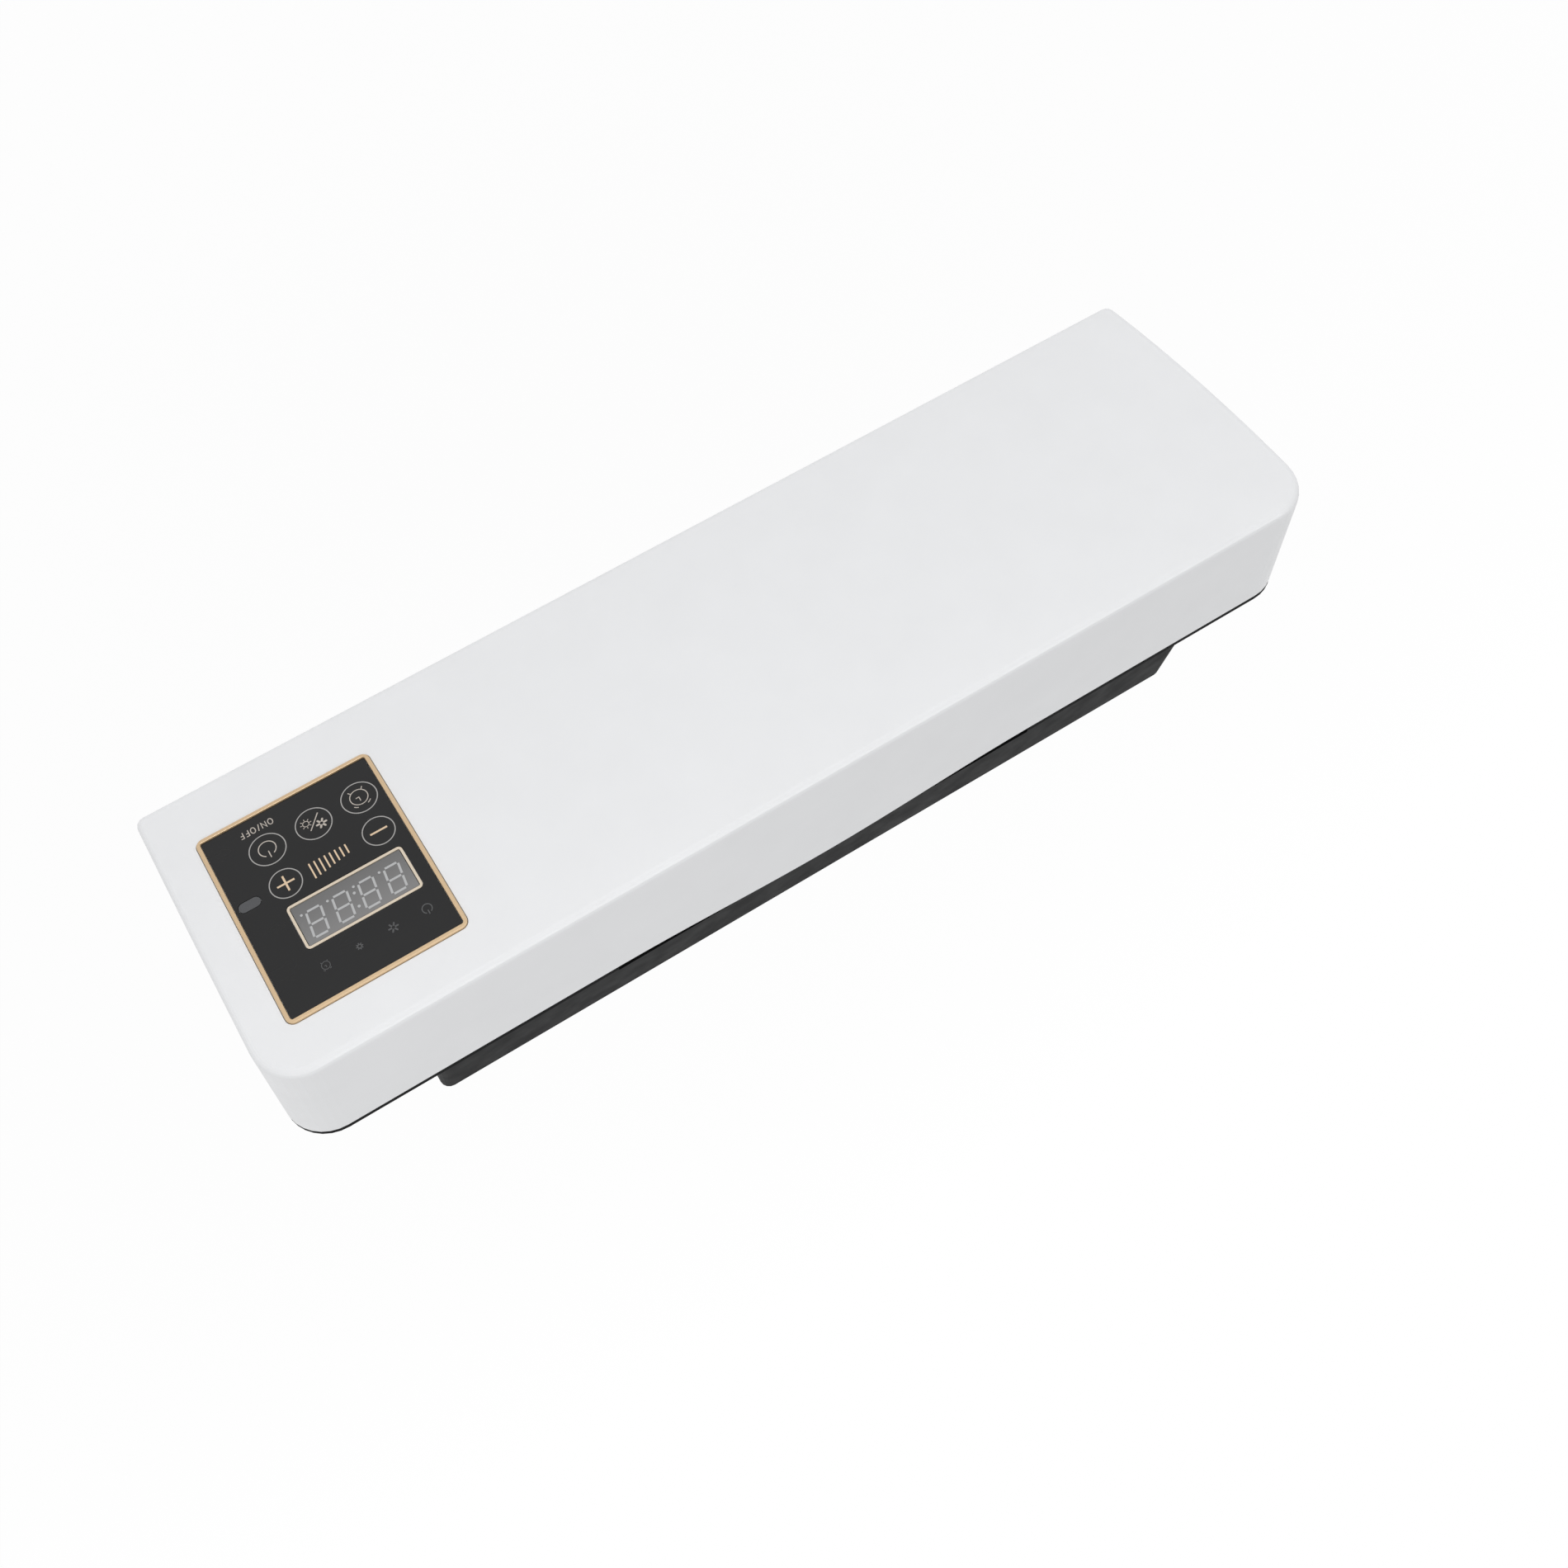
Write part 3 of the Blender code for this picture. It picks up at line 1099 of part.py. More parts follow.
def outlet_grilles():
    """Slotted grille just inside each arm's mouth."""
    width, thickness = arm_width(-ARM_REACH)
    shrink = ARM_WALL + GAP
    front = -ARM_REACH + GRILLE_SET_BACK
    loops = [arm_section(y, width - 2 * shrink, thickness - 2 * shrink)
             for y in (front + GRILLE_DEPTH, front)]
    grille = loft("grille", loops)
    count = int((width - 2 * shrink - 2 * GRILLE_BORDER) / GRILLE_PITCH)
    high = thickness / 2 - ARM_WALL - GRILLE_BORDER
    slots = []
    for i in range(count):
        x = (i - (count - 1) / 2) * GRILLE_PITCH
        slots.append(box("slot", (x - GRILLE_SLOT / 2, x + GRILLE_SLOT / 2),
                         (front - TINY, front + GRILLE_DEPTH + TINY), (-high, high)))
    cut(grille, merge_meshes("slots", slots))
    copy_to_arms(dress(grille, "grey_plastic"), "outlet_grille_%d")


def friction_washers():
    """Two washers beside each arm's drum that hold it where it is put."""
    centre = (PIVOT_Y, PIVOT_Z)
    for i, x in enumerate(ARM_XS):
        for side, letter in ((-1, "a"), (1, "b")):
            start = x + side * (ARM_WIDTH / 2 + GAP)
            washer = tube("friction_washer_%d%s" % (i + 1, letter), circle(centre, WASHER_R, 14),
                          circle(centre, ROD_R + GAP, 14), "X", start, start + side * WASHER)
            dress(washer, "rubber")


# ---------------------------------------------------------------- blower and heater

def scroll_radius(turn):
    """Radius of the scroll's spiral after a turn, in degrees from its cut-off."""
    return SCROLL_START_R + SCROLL_GROWTH * turn / 360.0


def scroll_outline(grow):
    """Spiral with its throat running down, seen from the front as (x, z)."""
    points = []
    steps = 40
    for i in range(steps + 1):
        turn = 315.0 * i / steps
        angle = math.radians(225.0 - turn)
        radius = scroll_radius(turn) + grow
        points.append((BLOWER_X + radius * math.cos(angle), BLOWER_Z + radius * math.sin(angle)))
    return points


def throat_edges():
    """Left and right x of the throat."""
    right = BLOWER_X + THROAT_WIDTH / 2
    left = BLOWER_X - THROAT_WIDTH / 2
    return left, right


def scroll_solid(name, grow, front, rear):
    """Filled spiral joined to its straight throat."""
    body = prism(name, scroll_outline(grow), "Y", front, rear)
    left, right = throat_edges()
    bottom = BLOCK_BOTTOM_Z + CASE_WALL + GAP
    throat = box("throat", (left - grow, right + grow), (front, rear),
                 (bottom if grow > 0 else bottom - TINY, BLOWER_Z))
    return join(body, throat)


def blower_scroll():
    """Scroll housing, open to the front, with its throat down to the manifold."""
    front = SCROLL_FRONT_Y
    rear = SCROLL_REAR_Y
    body = scroll_solid("blower_scroll", SCROLL_WALL, front, rear)
    cut(body, scroll_solid("room", 0.0, front - TINY, rear - SCROLL_WALL))
    return dress(body, "grey_plastic")


def blower_inlet_ring():
    """Lid of the scroll with a flared round inlet."""
    rear = SCROLL_FRONT_Y - GAP
    lid = scroll_solid("blower_inlet_ring", SCROLL_WALL, rear - SCROLL_WALL, rear)
    centre = (BLOWER_X, BLOWER_Z)
    join(lid, cylinder("flare", "Y", centre, IMPELLER_EYE_R + FLARE_WALL, rear - SCROLL_WALL - FLARE_HEIGHT,
                       rear - TINY, 40))
    cut(lid, cylinder("eye", "Y", centre, IMPELLER_EYE_R, rear - SCROLL_WALL - 2 * FLARE_HEIGHT,
                      rear + TINY, 40))
    return dress(lid, "grey_plastic")


def blade(turn):
    """One forward-curved blade between the impeller's disc and its front ring."""
    outline = []
    inner_r = IMPELLER_EYE_R + 2 * TINY
    outer_r = IMPELLER_R - TINY
    steps = 2
    for side in (-1, 1):
        stretch = []
        for i in range(steps + 1):
            share = i / steps
            radius = inner_r + (outer_r - inner_r) * share
            angle = turn + BLADE_LEAN * share * share + side * BLADE_WALL / (2 * radius)
            stretch.append((BLOWER_X + radius * math.cos(angle), BLOWER_Z + radius * math.sin(angle)))
        outline += stretch if side < 0 else stretch[::-1]
    front = impeller_front()
    return prism("blade", outline, "Y", front + TINY, front + IMPELLER_WIDTH - TINY)


def impeller_front():
    """Front plane of the impeller inside the scroll."""
    return SCROLL_REAR_Y - SCROLL_WALL - IMPELLER_CLEARANCE - IMPELLER_WIDTH


def impeller():
    """Drum impeller: rear disc, ring of blades, front ring and a cup over the motor."""
    front = impeller_front()
    rear = front + IMPELLER_WIDTH
    centre = (BLOWER_X, BLOWER_Z)
    wheel = cylinder("impeller", "Y", centre, IMPELLER_R, rear - IMPELLER_DISC, rear, 48)
    join(wheel, merge_meshes("blades", [blade(2 * math.pi * i / BLADE_COUNT) for i in range(BLADE_COUNT)]))
    join(wheel, tube("front_ring", circle(centre, IMPELLER_R, 48),
                     circle(centre, IMPELLER_R - 2 * CUP_WALL, 48), "Y", front, front + IMPELLER_DISC))
    join(wheel, cylinder("cup", "Y", centre, HUB_R + CUP_WALL, rear - CUP_DEPTH, rear - TINY, 32))
    cut(wheel, cylinder("cup_room", "Y", centre, HUB_R, rear - CUP_DEPTH + CUP_WALL, rear + TINY, 32))
    cut(wheel, cylinder("shaft_hole", "Y", centre, SHAFT_R + GAP, front - TINY, rear, 16))
    return dress(wheel, "component_dark")


def fan_motor():
    """Motor on the scroll's rear wall, inside the impeller's cup."""
    rear = SCROLL_REAR_Y - SCROLL_WALL - GAP
    cup_front = impeller_front() + IMPELLER_WIDTH - CUP_DEPTH + CUP_WALL
    centre = (BLOWER_X, BLOWER_Z)
    motor = cylinder("fan_motor", "Y", centre, HUB_R - 2 * GAP, cup_front + 2 * GAP, rear - MOTOR_FOOT, 32)
    join(motor, cylinder("foot", "Y", centre, MOTOR_FOOT_R, rear - MOTOR_FOOT - TINY, rear, 32))
    join(motor, cylinder("shaft", "Y", centre, SHAFT_R, cup_front - SHAFT_REACH, rear - MOTOR_FOOT, 16))
    return dress(motor, "steel")


def heater_frame():
    """Rectangular frame in the throat that holds the heater fins."""
    left, right = throat_edges()
    front = SCROLL_FRONT_Y + GAP
    rear = SCROLL_REAR_Y - SCROLL_WALL - GAP
    outer = [(left + GAP, front), (right - GAP, front), (right - GAP, rear), (left + GAP, rear)]
    wall = HEATER_FRAME_WALL
    inner = [(left + GAP + wall, front + wall), (right - GAP - wall, front + wall),
             (right - GAP - wall, rear - wall), (left + GAP + wall, rear - wall)]
    return dress(tube("heater_frame", outer, inner, "Z", HEATER_Z - HEATER_HEIGHT / 2,
                      HEATER_Z + HEATER_HEIGHT / 2), "heat_white")


def heater_fins():
    """Row of fins across a flat heating bar."""
    left, right = throat_edges()
    wall = HEATER_FRAME_WALL + 2 * GAP
    front = SCROLL_FRONT_Y + GAP + wall - GAP
    rear = SCROLL_REAR_Y - SCROLL_WALL - GAP - wall + GAP
    low = HEATER_Z - HEATER_HEIGHT / 2 + 2 * TINY
    high = HEATER_Z + HEATER_HEIGHT / 2 - 2 * TINY
    middle_y = (front + rear) / 2
    core = box("heater_fins", (left + GAP + wall, right - GAP - wall),
               (middle_y - HEATER_BAR / 2, middle_y + HEATER_BAR / 2), (low, high))
    span = right - left - 2 * (GAP + wall) - FIN_WALL
    count = int(span / FIN_PITCH) + 1
    fins = []
    for i in range(count):
        x = BLOWER_X + (i - (count - 1) / 2) * FIN_PITCH
        fins.append(box("fin", (x - FIN_WALL / 2, x + FIN_WALL / 2), (front, rear),
                        (low + TINY, high - TINY)))
    return dress(join(core, merge_meshes("fins", fins)), "aluminium")


def thermal_cutout():
    """Round thermal switch on the throat's front, next to the heater."""
    rear = SCROLL_FRONT_Y - 2 * GAP - SCROLL_WALL
    length, sheet, width = CUTOUT_EARS
    switch = cylinder("thermal_cutout", "Y", (BLOWER_X, HEATER_Z), CUTOUT_R, rear - CUTOUT_HEIGHT, rear, 24)
    join(switch, box("ears", (BLOWER_X - length / 2, BLOWER_X + length / 2), (rear - sheet, rear),
                     (HEATER_Z - width / 2, HEATER_Z + width / 2)))
    return dress(switch, "component_dark")


# ---------------------------------------------------------------- power board

def power_board():
    """Mains board on four standoffs of the case."""
    board = box("power_board", POWER_BOARD_X, (POWER_BOARD_Y, POWER_BOARD_Y + BOARD_THICKNESS), POWER_BOARD_Z)
    return dress(board, "circuit_green")


def block_on_board(name, shape, look):
    """Box-shaped part on the front of the power board."""
    x, z, width, height, depth = shape
    left = POWER_BOARD_X[0] + x
    low = POWER_BOARD_Z[0] + z
    seat = POWER_BOARD_Y - GAP
    dress(box(name, (left, left + width), (seat - depth, seat), (low, low + height)), look)


def power_components():
    """Transformer, relay, terminal block and two capacitors on the power board."""
    block_on_board("transformer", TRANSFORMER, "component_dark")
    block_on_board("relay", RELAY, "component_dark")
    block_on_board("terminal_block", TERMINAL_BLOCK, "grey_plastic")
    seat = POWER_BOARD_Y - GAP
    for i in range(2):
        centre = (POWER_BOARD_X[1] - CAPACITOR_END_INSET,
                  POWER_BOARD_Z[0] + CAPACITOR_LIFT + i * CAPACITOR_PITCH)
        dress(cylinder("capacitor_%d" % (i + 1), "Y", centre, CAPACITOR_R, seat - CAPACITOR_HEIGHT, seat, 20),
              "aluminium")


# ---------------------------------------------------------------- assembly

def clear_scene():
    """Start from an empty scene."""
    for item in list(bpy.data.objects):
        bpy.data.objects.remove(item)


def build():
    """Make every piece of the dryer."""
    clear_scene()
    front_cover()
    panel_bezel()
    touch_panel()
    display_frame()
    display_window()
    ir_window()
    display_module()
    ir_receiver()
    touch_board()
    board_screws()
    cover_screws()
    rear_case()
    for side, name in ((-1, "left"), (1, "right")):
        intake_grille(side, "intake_grille_" + name)
        intake_filter(side, "intake_filter_" + name)
    cord_gland()
    wall_bracket()
    wall_pads()
    outlet_manifold()
    manifold_gasket()
    hinge_rod()
    boot_arms()
    outlet_grilles()
    friction_washers()
    blower_scroll()
    blower_inlet_ring()
    impeller()
    fan_motor()
    heater_frame()
    heater_fins()
    thermal_cutout()
    power_board()
    power_components()


build()
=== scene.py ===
"""Looks of the wall-hung boot dryer: the finish of every piece, the marks printed on its touch panel,
a pale floor, soft light and a camera at the photograph's viewing angle.

Metres, in the model's own frame: +Z up, +X to the right seen from the front, wall plane at Y = 0."""

import json
import math

import bmesh
import bpy
from mathutils import Matrix, Vector

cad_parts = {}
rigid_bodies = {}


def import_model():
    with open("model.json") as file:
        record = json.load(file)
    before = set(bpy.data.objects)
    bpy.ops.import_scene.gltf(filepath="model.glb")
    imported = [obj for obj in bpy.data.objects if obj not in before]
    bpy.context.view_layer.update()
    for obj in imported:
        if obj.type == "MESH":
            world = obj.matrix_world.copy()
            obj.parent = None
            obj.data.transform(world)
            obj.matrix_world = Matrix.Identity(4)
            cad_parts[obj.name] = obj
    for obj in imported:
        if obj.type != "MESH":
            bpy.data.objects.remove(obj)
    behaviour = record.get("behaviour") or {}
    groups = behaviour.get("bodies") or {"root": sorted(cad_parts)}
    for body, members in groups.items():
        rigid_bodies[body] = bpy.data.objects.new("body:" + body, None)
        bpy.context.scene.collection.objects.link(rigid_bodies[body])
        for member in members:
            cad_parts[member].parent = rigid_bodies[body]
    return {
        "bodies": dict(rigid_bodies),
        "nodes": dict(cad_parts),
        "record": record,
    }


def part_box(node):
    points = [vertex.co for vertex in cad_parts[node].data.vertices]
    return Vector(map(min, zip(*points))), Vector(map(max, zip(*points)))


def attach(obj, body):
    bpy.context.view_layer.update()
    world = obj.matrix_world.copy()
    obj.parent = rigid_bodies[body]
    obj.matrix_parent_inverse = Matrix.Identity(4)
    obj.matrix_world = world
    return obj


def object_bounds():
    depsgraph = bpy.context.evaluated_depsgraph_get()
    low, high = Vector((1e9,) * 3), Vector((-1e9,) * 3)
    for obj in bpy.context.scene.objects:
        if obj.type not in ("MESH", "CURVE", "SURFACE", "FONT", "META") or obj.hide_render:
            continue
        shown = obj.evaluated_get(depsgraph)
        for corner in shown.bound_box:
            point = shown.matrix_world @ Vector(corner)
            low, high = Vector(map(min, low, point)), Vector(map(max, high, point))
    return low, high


MM = 0.001

# Camera, fitted to the edges in the photograph: its place, its right and up directions, and its lens
IMAGE_SIZE = 1900
SENSOR_WIDTH = 36.0
CAMERA_PLACE = (0.22795, -0.83109, 0.46400)
CAMERA_RIGHT = (-0.85594, 0.10469, 0.50637)
CAMERA_UP = (-0.46753, -0.57498, -0.67143)
FOCAL_PIXELS = 2320.5
PRINCIPAL_PIXEL = (800.0, 806.7)
CLIP_END = 60.0

# Light: place and aim of each lamp from the dryer's middle, its width and height, and its power in watts
WORLD_LEVEL = 0.68
LAMPS = {
    "key_lamp": ((-0.3, -2.3, 0.1), (0.0, 0.0, 0.0), (1.8, 1.8), 18.9),
    "crease_lamp": ((-0.43, -0.86, 1.34), (-0.43, 0.0, 0.0), (1.9, 0.6), 16.0),
    "side_lamp": ((0.75, -0.35, 0.75), (0.25, 0.0, 0.0), (0.5, 0.5), 1.0),
}
HIGHLIGHT_LAMPS = ("crease_lamp",)    # lamps that show in gloss only
FLOOR_DROP = 0.16
FLOOR_SIZE = 14.0
FLOOR_COLOUR = (0.92, 0.92, 0.92)
FLOOR_ROUGHNESS = 0.9
FLOOR_GLOW = (0.94, 1.0)     # share of the floor's own white under the dryer, and far from it
FLOOR_FADE = (0.5, 2.0)      # distances between which it grows

# Finishes: size of the features of each, in metres
CLOUD_SIZE = 0.03            # tint of moulded plastic
PATCH_SIZE = 0.012           # its duller and glossier patches
SINK_SIZE = 0.06             # the faint sink of a large wall
SMEAR_SIZE = 0.02            # smears on a gloss sheet
SHEET_TINT_SIZE = 0.05
SHEET_GRAIN_SIZE = 0.0009
SHEET_GLOSS = 0.28
FLAKE_SIZE = 0.00025         # flakes of a lacquer
LACQUER_PATCH_SIZE = 0.004
BRUSH_LINE_SIZE = 0.0004
BRUSH_PATCH_SIZE = 0.006
BLOOM_SIZE = 0.006           # bloom and pits of rubber
PIT_SIZE = 0.0005
PORE_SIZE = 0.0012           # pores of the filter foam
FOAM_PATCH_SIZE = 0.003
TRACK_SCALE = 90.0           # bricks in a metre of the circuit boards' tracks
TRACK_WIDTH = 0.035
BOARD_PATCH_SIZE = 0.004
SPECK_SIZE = 0.0008          # specks of the heater's frame
PANE_PATCH_SIZE = 0.008
PANE_GRAIN_SIZE = 0.001
PANE_EDGE_SHADE = 0.62             # painted shade: colour at the window's lower edge, as a share of its own
PANE_COAT = 0.5

# Printed marks: how far they stand out of the sheet and reach into it, and how finely they are cut
PRINT_PROUD = 0.03 * MM
PRINT_SUNK = 0.02 * MM
LINE = 0.48 * MM
FINE_LINE = 0.32 * MM
STROKE_STEP = 1.5 * MM       # longest piece of a straight line on the crowned face
RING_STEP = 7.5              # degrees
RING_STEPS_LEAST = 6
DISC_STEPS = 16
MITRE_LEAST = 0.4            # keeps the corners of a line from growing long

# Keys, as (x, z) of their middles on the face
BIG_KEY_R = 8.3 * MM
SMALL_KEY_R = 7.35 * MM
TIMER_KEY = (181.8 * MM, -25.9 * MM)
AIR_KEY = (204.7 * MM, -25.2 * MM)
POWER_KEY = (227.5 * MM, -24.8 * MM)
MINUS_KEY = (181.9 * MM, -5.0 * MM)
PLUS_KEY = (227.6 * MM, -4.2 * MM)
SIGN_LENGTH = 8.3 * MM
SIGN_WIDTH = 0.94 * MM

# Icons on the keys: how far each lies from its key's middle, and its radius
CLOCK_LIFT = -0.3 * MM
CLOCK_R = 4.15 * MM
CLOCK_LINE = 0.42 * MM
POWER_LIFT = -0.4 * MM
POWER_R = 4.0 * MM
SNOW_SHIFT = (-3.1 * MM, 1.8 * MM)
SNOW_R = 2.75 * MM
PETAL_WIDTH = 0.95 * MM
SUN_SHIFT = (3.1 * MM, -1.8 * MM)
SUN_R = 2.7 * MM
SLASH_ENDS = ((-3.8 * MM, -4.4 * MM), (2.6 * MM, 2.9 * MM))

# Forms of the icons, as shares of an icon's radius, and in degrees
POWER_ARC = (118.0, 422.0)
POWER_BAR = (0.34, 1.28)     # ends of the line, above the middle
CLOCK_HANDS = (0.54, 0.38)
CLOCK_FOOT_TURN = 143        # from the top
CLOCK_FOOT = (1.05, 1.42)
CLOCK_BELL_TURN = 36
CLOCK_BELL_HALF = 11
CLOCK_BELL_R = 1.34
SUN_RING = 0.53
SUN_RAYS = 8
SUN_RAY_START = 0.66
SNOW_PETALS = 6
SNOW_HEART = 0.28

# Level bars between the minus and plus keys
BAR_COUNT = 8
BAR_LEFT_X = 197.7 * MM
BAR_RIGHT_X = 215.2 * MM
BAR_FOOT_Z = -7.4 * MM
BAR_LENGTHS = (5.1 * MM, 8.5 * MM)
BAR_WIDTH = 0.72 * MM

# Words on the power key
WORD_DROP = 13.1 * MM
LETTER_HEIGHT = 3.7 * MM
LETTER_WIDTHS = {"O": 2.60 * MM, "N": 2.45 * MM, "/": 1.45 * MM, "F": 1.95 * MM}
LETTER_GAP = 0.65 * MM
LETTER_LINE = 0.44 * MM

# Display
DIGIT_COUNT = 4
DIGIT_PITCH = 12.5 * MM
DIGIT_WIDTH = 6.9 * MM
DIGIT_HEIGHT = 13.2 * MM
DIGIT_SLANT = 0.133
DIGIT_SHIFT = -0.2 * MM
DIGIT_LIFT = 1.4 * MM
SEGMENT_WIDTH = 1.05 * MM
SEGMENT_GAP = 0.10 * MM
POINT_R = 0.62 * MM
POINT_PLACE = (0.82, -0.48)    # shares of the digit's width and height, from its middle
COLON_HEIGHTS = (-0.255, 0.265)
COLON_R = 1.1 * POINT_R
WINDOW_SINK = 0.3 * MM       # the window lies this far below the panel's face

# Faint indicator icons above the display
INDICATOR_R = 2.2 * MM
INDICATOR_Z = 41.0 * MM
INDICATOR_X = {"power": 181.0 * MM, "snow": 197.2 * MM, "sun": 213.3 * MM, "clock": 229.3 * MM}
INDICATOR_SHARES = {"power": 1.0, "snow": 1.15, "sun": 0.75, "clock": 0.85}
INDICATOR_PETAL = 1.6 * LINE


# ---------------------------------------------------------------- frame

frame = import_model()
cad_low, cad_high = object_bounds()
ROOT = max(frame["bodies"], key=lambda name: len(frame["bodies"][name].children))


# ---------------------------------------------------------------- node helpers

def linked(tree, kind, **settings):
    """New node of a tree, with settings for its properties."""
    node = tree.nodes.new(kind)
    for key, value in settings.items():
        setattr(node, key, value)
    return node


def noise(tree, size, detail=2.0, stretch=(1.0, 1.0, 1.0)):
    """Noise with features of about the given size in metres, stretched along the axes."""
    place = linked(tree, "ShaderNodeTexCoord")
    mapping = linked(tree, "ShaderNodeMapping")
    mapping.inputs["Scale"].default_value = [1.0 / (size * s) for s in stretch]
    texture = linked(tree, "ShaderNodeTexNoise")
    texture.inputs["Scale"].default_value = 1.0
    texture.inputs["Detail"].default_value = detail
    tree.links.new(place.outputs["Object"], mapping.inputs["Vector"])
    tree.links.new(mapping.outputs["Vector"], texture.inputs["Vector"])
    return texture.outputs["Fac"]


def cells(tree, size):
    """Voronoi distance with cells of about the given size in metres."""
    place = linked(tree, "ShaderNodeTexCoord")
    texture = linked(tree, "ShaderNodeTexVoronoi")
    texture.inputs["Scale"].default_value = 1.0 / size
    tree.links.new(place.outputs["Object"], texture.inputs["Vector"])
    return texture.outputs["Distance"]


def spread(tree, value, low, high, start=0.3, end=0.7):
    """Value mapped from start..end to low..high."""
    node = linked(tree, "ShaderNodeMapRange")
    tree.links.new(value, node.inputs["Value"])
    node.inputs["From Min"].default_value = start
    node.inputs["From Max"].default_value = end
    node.inputs["To Min"].default_value = low
    node.inputs["To Max"].default_value = high
    return node.outputs["Result"]


def between(tree, share, low, high):
    """Colour between two colours."""
    node = linked(tree, "ShaderNodeMix", data_type="RGBA")
    tree.links.new(share, node.inputs["Factor"])
    node.inputs[6].default_value = (*low, 1.0)
    node.inputs[7].default_value = (*high, 1.0)
    return node.outputs[2]


def bumps(tree, shader, *layers):
    """Chain of bump layers (height, depth in metres) on the shader's normal."""
    normal = None
    for height, depth in layers:
        bump = linked(tree, "ShaderNodeBump")
        bump.inputs["Strength"].default_value = 1.0
        bump.inputs["Distance"].default_value = depth
        tree.links.new(height, bump.inputs["Height"])
        if normal:
            tree.links.new(normal, bump.inputs["Normal"])
        normal = bump.outputs["Normal"]
    tree.links.new(normal, shader.inputs["Normal"])


def start_material(name, metallic=0.0):
    """Empty node material with its tree and its Principled shader."""
    made = bpy.data.materials.new("look_" + name)
    made.use_nodes = True
    shader = made.node_tree.nodes["Principled BSDF"]
    shader.inputs["Metallic"].default_value = metallic
    return made, made.node_tree, shader


def darker(colour, share):
    """Colour scaled by a share."""
    return tuple(c * share for c in colour)


# ---------------------------------------------------------------- materials

def moulded(name, colour, contrast, rough, grain, depth, wave=0.0, gloss=0.5):
    """Moulded plastic: cloudy tint, spark-eroded grain and, if wave is set, a large wall's faint sink."""
    made, tree, shader = start_material(name)
    shader.inputs["Specular IOR Level"].default_value = gloss
    cloud = noise(tree, CLOUD_SIZE, 3.0)
    tree.links.new(between(tree, spread(tree, cloud, 0.0, 1.0), darker(colour, 1.0 - contrast), colour),
                   shader.inputs["Base Color"])
    fine = noise(tree, grain, 1.0)
    tree.links.new(spread(tree, noise(tree, PATCH_SIZE, 2.0), *rough), shader.inputs["Roughness"])
    layers = [(fine, depth)]
    if wave:
        layers.append((noise(tree, SINK_SIZE, 1.0), wave))
    bumps(tree, shader, *layers)
    return made


def gloss_sheet(name, colour, rough):
    """Smooth sheet with faint smears in its gloss."""
    made, tree, shader = start_material(name)
    smear = noise(tree, SMEAR_SIZE, 3.0, stretch=(1.6, 1.0, 0.7))
    tree.links.new(spread(tree, smear, *rough), shader.inputs["Roughness"])
    tint = spread(tree, noise(tree, SHEET_TINT_SIZE, 2.0), 0.0, 1.0)
    tree.links.new(between(tree, tint, darker(colour, 0.94), colour), shader.inputs["Base Color"])
    bumps(tree, shader, (noise(tree, SHEET_GRAIN_SIZE, 1.0), 0.000002))
    shader.inputs["Specular IOR Level"].default_value = SHEET_GLOSS
    return made


def lacquer(name, colour, metallic, rough):
    """Metallic lacquer with fine flakes."""
    made, tree, shader = start_material(name, metallic)
    flakes = noise(tree, FLAKE_SIZE, 1.0)
    tree.links.new(between(tree, spread(tree, flakes, 0.0, 1.0), darker(colour, 0.93), colour),
                   shader.inputs["Base Color"])
    tree.links.new(spread(tree, noise(tree, LACQUER_PATCH_SIZE, 2.0), *rough), shader.inputs["Roughness"])
    bumps(tree, shader, (flakes, 0.000004))
    return made


def brushed(name, colour, rough, stretch):
    """Metal with fine lines along one axis."""
    made, tree, shader = start_material(name, 1.0)
    lines = noise(tree, BRUSH_LINE_SIZE, 2.0, stretch=stretch)
    tree.links.new(between(tree, spread(tree, lines, 0.0, 1.0), darker(colour, 0.86), colour),
                   shader.inputs["Base Color"])
    tree.links.new(spread(tree, noise(tree, BRUSH_PATCH_SIZE, 3.0), *rough), shader.inputs["Roughness"])
    bumps(tree, shader, (lines, 0.00001))
    return made


def soft_rubber(name, colour):
    """Matt rubber with a light bloom and a pitted skin."""
    made, tree, shader = start_material(name)
    bloom = noise(tree, BLOOM_SIZE, 4.0)
    tree.links.new(between(tree, spread(tree, bloom, 0.0, 1.0), colour, tuple(c + 0.02 for c in colour)),
                   shader.inputs["Base Color"])
    tree.links.new(spread(tree, bloom, 0.62, 0.85), shader.inputs["Roughness"])
    bumps(tree, shader, (noise(tree, PIT_SIZE, 2.0), 0.00003))
    return made


def open_foam(name, colour):
    """Reticulated filter foam."""
    made, tree, shader = start_material(name)
    pores = cells(tree, PORE_SIZE)
    tree.links.new(between(tree, spread(tree, pores, 0.0, 1.0, 0.1, 0.6), tuple(c * 2.4 for c in colour),
                           darker(colour, 0.3)), shader.inputs["Base Color"])
    tree.links.new(spread(tree, noise(tree, FOAM_PATCH_SIZE), 0.85, 1.0), shader.inputs["Roughness"])
    bumps(tree, shader, (pores, 0.0006))
    return made


